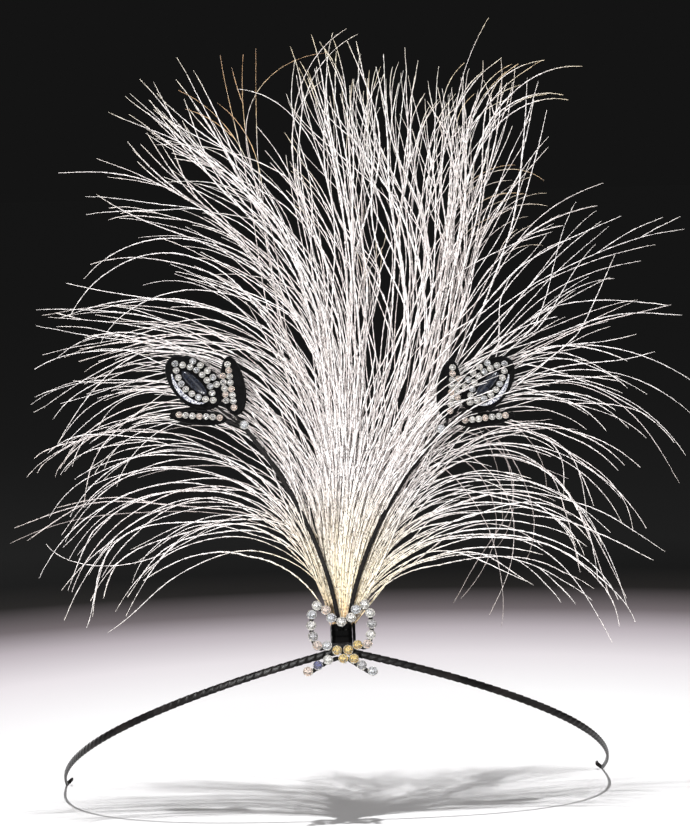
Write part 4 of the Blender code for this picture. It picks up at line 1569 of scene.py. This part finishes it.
    def strand(
        self, rng: np.random.Generator, line: np.ndarray, radius: float, tan_tip: float, shade: float,
        plumy: float = 1.0,
    ) -> Strand:
        """Give a line its thickness, thin at the root and uneven with barbs, and its colour.

        Args:
            rng: The seeded random source.
            line: The strand's points.
            radius: Its radius where it is thickest.
            tan_tip: Warmth of its tip.
            shade: How far in the shade it lies.
            plumy: Thickness towards its tip.

        Returns:
            The strand.
        """
        part = np.linspace(0, 1, len(line))
        shares = (0.5, 0.9, 1.0, 0.9 * plumy, 0.75 * plumy, 0.4)
        shape = np.interp(part, (0, 0.12, 0.4, 0.65, 0.85, 1.0), shares)
        thickness = radius * shape * rng.uniform(*self.barbs, len(line))
        return Strand(line, thickness, self.colour(rng, line, tan_tip), shade)

    def forks(
        self, rng: np.random.Generator, whole: Strand, count: int, radius: float, tan_tip: float
    ) -> list[Strand]:
        """Grow short side tips that leave a strand near its end.

        Args:
            rng: The seeded random source.
            whole: The strand.
            count: How many tips.
            radius: The strand's radius.
            tan_tip: Warmth of its tip.

        Returns:
            The tips.
        """
        tips = []
        for _ in range(count):
            at = int(len(whole.line) * rng.uniform(*self.fork_from))
            tail = whole.line[at:] - whole.line[at]
            turn = radians(rng.choice((-1, 1)) * rng.uniform(*self.fork_turn))
            grow = rng.uniform(*self.fork_length)
            side = (tail[:, 0] * cos(turn) + tail[:, 2] * sin(turn)) * grow
            up = (tail[:, 2] * cos(turn) - tail[:, 0] * sin(turn)) * grow
            back = tail[:, 1] + np.linspace(0, 1, len(tail)) * rng.normal(0, 2 * MM)
            line = np.stack([side, back, up], axis=1)
            if len(line) > 4:
                thin = radius * self.fork_thinning
                tips.append(self.strand(rng, line + whole.line[at], thin, tan_tip, whole.shade))
        return tips

    def source(self, name: str) -> np.random.Generator:
        """Random source of a bunch or fill, seeded by its name, so that each can change on its own."""
        return np.random.default_rng([self.seed, *name.encode()])

    @staticmethod
    def shade(rng: np.random.Generator, grey: float) -> float:
        """How far in the shade a strand of a bunch or fill lies."""
        return float(np.clip(rng.beta(1.3, 4.0) * 0.7 + grey, 0, 1))

    def grow_bunch(self, bunch: Bunch) -> list[Strand]:
        """Grow the strands of one bunch.

        Args:
            bunch: Its row.

        Returns:
            Its strands, with their forks.
        """
        rng = self.source(bunch.name)
        grown = []
        for _ in range(bunch.strands):
            scale = self.length_most - bunch.ragged * rng.beta(1.2, 2.6)
            line = self.lay(rng, bunch, scale, self.loose_in_bunch)
            shade = self.shade(rng, bunch.grey)
            tan_tip = bunch.tan * rng.uniform(0.3, 1.0) if bunch.tan < 1 else 1.0
            radius = self.radius * rng.uniform(*self.radius_range)
            radius *= self.tan_thinning if bunch.tan >= 1 else 1.0
            whole = self.strand(rng, line, radius, tan_tip, shade, bunch.plumy)
            grown.append(whole)
            # the plumier a bunch, the more of its strands branch near their tips
            if rng.random() < self.fork_share * bunch.plumy**3:
                grown += self.forks(rng, whole, int(rng.integers(1, 1 + 2 * bunch.plumy)), radius, tan_tip)
        return grown

    def grow_fill(self, fill: Fill) -> list[Strand]:
        """Grow single strands between the bunches.

        Args:
            fill: Its row.

        Returns:
            Its strands.
        """
        rng = self.source(fill.name)
        grown = []
        for _ in range(fill.strands):
            place = rng.uniform(*fill.range)
            first = min(int(place), len(self.fountain) - 2)
            low, high, share = self.fountain[first], self.fountain[first + 1], place - first
            leans = tuple(a + (b - a) * share for a, b in zip(low.leans, high.leans))
            between = Bunch(
                fill.name, 1, low.station + (high.station - low.station) * share, leans,
                low.length + (high.length - low.length) * share, (2.0, 3.0), rng.uniform(*fill.back),
            )
            line = self.lay(rng, between, rng.uniform(*fill.scale), self.loose_in_fill)
            shade = self.shade(rng, fill.grey)
            grown.append(self.strand(rng, line, fill.radius * rng.uniform(*self.radius_range), 0.0, shade))
        return grown

    def skin(self, name: str, strands: Sequence[Strand]) -> bpy.types.Object:
        """Turn strands into one mesh of fine three-sided tubes, twisted as they go.

        Args:
            name: The piece's name.
            strands: The strands.

        Returns:
            The piece, in place.
        """
        rng = self.source(name)
        corners, quads, caps, charts = [], [], [], []
        first = 0
        for strand in strands:
            ahead = unit(np.gradient(strand.line, axis=0))
            across = unit(np.cross(ahead, (0.0, 1.0, 0.0)))
            over = np.cross(ahead, across)
            count = len(strand.line)
            twist = rng.uniform(0, 2 * pi) + np.cumsum(rng.uniform(0.3, 1.1, count))
            for corner in range(3):
                angle = (twist + corner * 2 * pi / 3)[:, None]
                out = across * np.cos(angle) + over * np.sin(angle)
                corners.append(strand.line + strand.radius[:, None] * out)
            row = first + np.arange(count - 1)
            for corner in range(3):
                low, high = row + corner * count, row + (corner + 1) % 3 * count
                quads.append(np.stack([low, high, high + 1, low + 1], axis=1))
            caps.append([first + corner * count for corner in (2, 1, 0)])
            caps.append([first + count - 1 + corner * count for corner in (0, 1, 2)])
            charts.append(np.tile(np.stack([strand.warmth, np.full(count, strand.shade)], axis=1), (3, 1)))
            first += 3 * count
        places = np.concatenate(corners)
        piece = new_mesh_object(name, places.tolist(), np.concatenate(quads).tolist() + caps)
        mesh = piece.data
        chart = np.concatenate(charts)
        order = np.empty(len(mesh.loops), dtype=np.int32)
        mesh.loops.foreach_get("vertex_index", order)
        mesh.uv_layers.new(name="strand").data.foreach_set("uv", chart[order].astype(np.float32).ravel())
        mesh.polygons.foreach_set("use_smooth", np.ones(len(mesh.polygons), dtype=bool))
        STRANDS.put_on(piece)
        move_mesh(piece, PLUME_FRAME.matrix())
        return piece

    def build(self) -> None:
        """Grow the bunches and what stands between them, and hand them over."""
        groups = {
            "left": self.fountain[:8], "crest": self.fountain[8:14], "right": self.fountain[14:],
            "single": self.singles,
        }
        grown = {
            name: [strand for bunch in bunches for strand in self.grow_bunch(bunch)]
            for name, bunches in groups.items()
        }
        grown |= {fill.name: self.grow_fill(fill) for fill in self.fills}
        for name, strands in grown.items():
            log.info("%s: %d strands", name, len(strands))
            hand_over(self.skin(f"plume_strands_{name}", strands), "plume", Slot.FEATHER)


# Studio


@dataclass
class Studio:
    """The pale floor, the lights and the camera."""

    floor_level: float = -0.63 * MM
    floor_radius: float = 30.0
    # name, place, what it points at, size in metres and power in watts: a small light overhead, which draws
    # the band's shadow, and large soft ones around
    lights: tuple = (
        ("overhead", (0.0, 0.02, 1.6), (0.0, 0.0, 0.0), 0.045, 24.0),
        ("front_soft", (-0.4, -1.7, 0.07), (0.0, 0.0, 0.14), 0.3, 41.0),
        ("top_tent", (0.15, -1.25, 1.35), (0.0, -0.05, 0.1), 1.2, 4.0),
        ("front_card", (0.1, -2.4, 0.75), (0.0, -0.05, 0.1), 1.8, 6.0),
        ("left_wide", (-1.3, -0.7, 0.2), (0.0, -0.05, 0.1), 0.8, 3.5),
        ("right_wide", (1.3, -0.6, 0.18), (0.0, -0.05, 0.1), 0.8, 4.5),
        ("back_soft", (-0.9, 1.1, 0.15), (0.0, 0.0, 0.14), 0.3, 4.0),
    )
    dark_room: str = "#141414"
    camera_place: tuple = (-0.04056, -1.32949, 0.18551)
    azimuth: float = radians(-2.0)
    elevation: float = radians(3.3)
    roll: float = radians(1.5)
    sensor: float = 36
    lens: float = 36 * 4375 / 840  # the focal length in pixels, over the frame's long side

    def build_floor(self) -> None:
        """Lay the sheet of paper that the crown stands on."""
        floor = primitive(
            bpy.ops.mesh.primitive_circle_add, vertices=96, radius=self.floor_radius, fill_type="NGON",
            location=(0, 0, self.floor_level),
        )
        floor.name = "studio_floor"
        PAPER.put_on(floor)

    def build_lights(self) -> None:
        """Add the area lights and the dark room round them."""
        for name, place, aim, size, power in self.lights:
            data = bpy.data.lights.new(name, "AREA")
            data.shape = "DISK"
            data.size = size
            data.energy = power
            light = bpy.data.objects.new(name, data)
            light.location = place
            light.rotation_euler = (Vector(aim) - Vector(place)).to_track_quat("-Z", "Y").to_euler()
            bpy.context.scene.collection.objects.link(light)
        # the photograph is a contrasty print, which the plain transform matches
        bpy.context.scene.view_settings.view_transform = "Standard"
        world = bpy.data.worlds.new("dark_studio")
        world.use_nodes = True
        world.node_tree.nodes["Background"].inputs["Color"].default_value = linear(self.dark_room)
        bpy.context.scene.world = world

    def build_camera(self) -> None:
        """Set the camera at the photograph's place and angle."""
        across, level = sin(self.azimuth), cos(self.elevation)
        back = Vector((across * level, -cos(self.azimuth) * level, sin(self.elevation)))
        flat = Vector((cos(self.azimuth), across, 0))
        above = back.cross(flat)
        right = flat * cos(self.roll) - above * sin(self.roll)
        up = above * cos(self.roll) + flat * sin(self.roll)
        data = bpy.data.cameras.new("camera")
        data.lens = self.lens
        data.sensor_width = self.sensor
        data.clip_start = 0.05
        data.clip_end = 100
        camera = bpy.data.objects.new("camera", data)
        turned = Matrix((right, up, back)).transposed().to_4x4()
        camera.matrix_world = Matrix.Translation(self.camera_place) @ turned
        bpy.context.scene.collection.objects.link(camera)
        bpy.context.scene.camera = camera

    def build(self) -> None:
        """Set up the studio."""
        self.build_floor()
        self.build_lights()
        self.build_camera()


def main() -> None:
    """Build the studio and every piece of the crown."""
    logging.basicConfig(level=logging.INFO, format="%(name)s: %(message)s")
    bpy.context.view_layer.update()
    Studio().build()
    HeadBand().build()
    Bow().build()
    LeafSpray(
        Side.LEFT, foot=-0.3 * MM, lean_root=radians(-4), lean_tip=radians(-36), length=67.3 * MM
    ).build()
    LeafSpray(
        Side.RIGHT, foot=2.5 * MM, lean_root=radians(7), lean_tip=radians(41), length=66.3 * MM
    ).build()
    Plume().build()


if __name__ == "__main__":
    main()
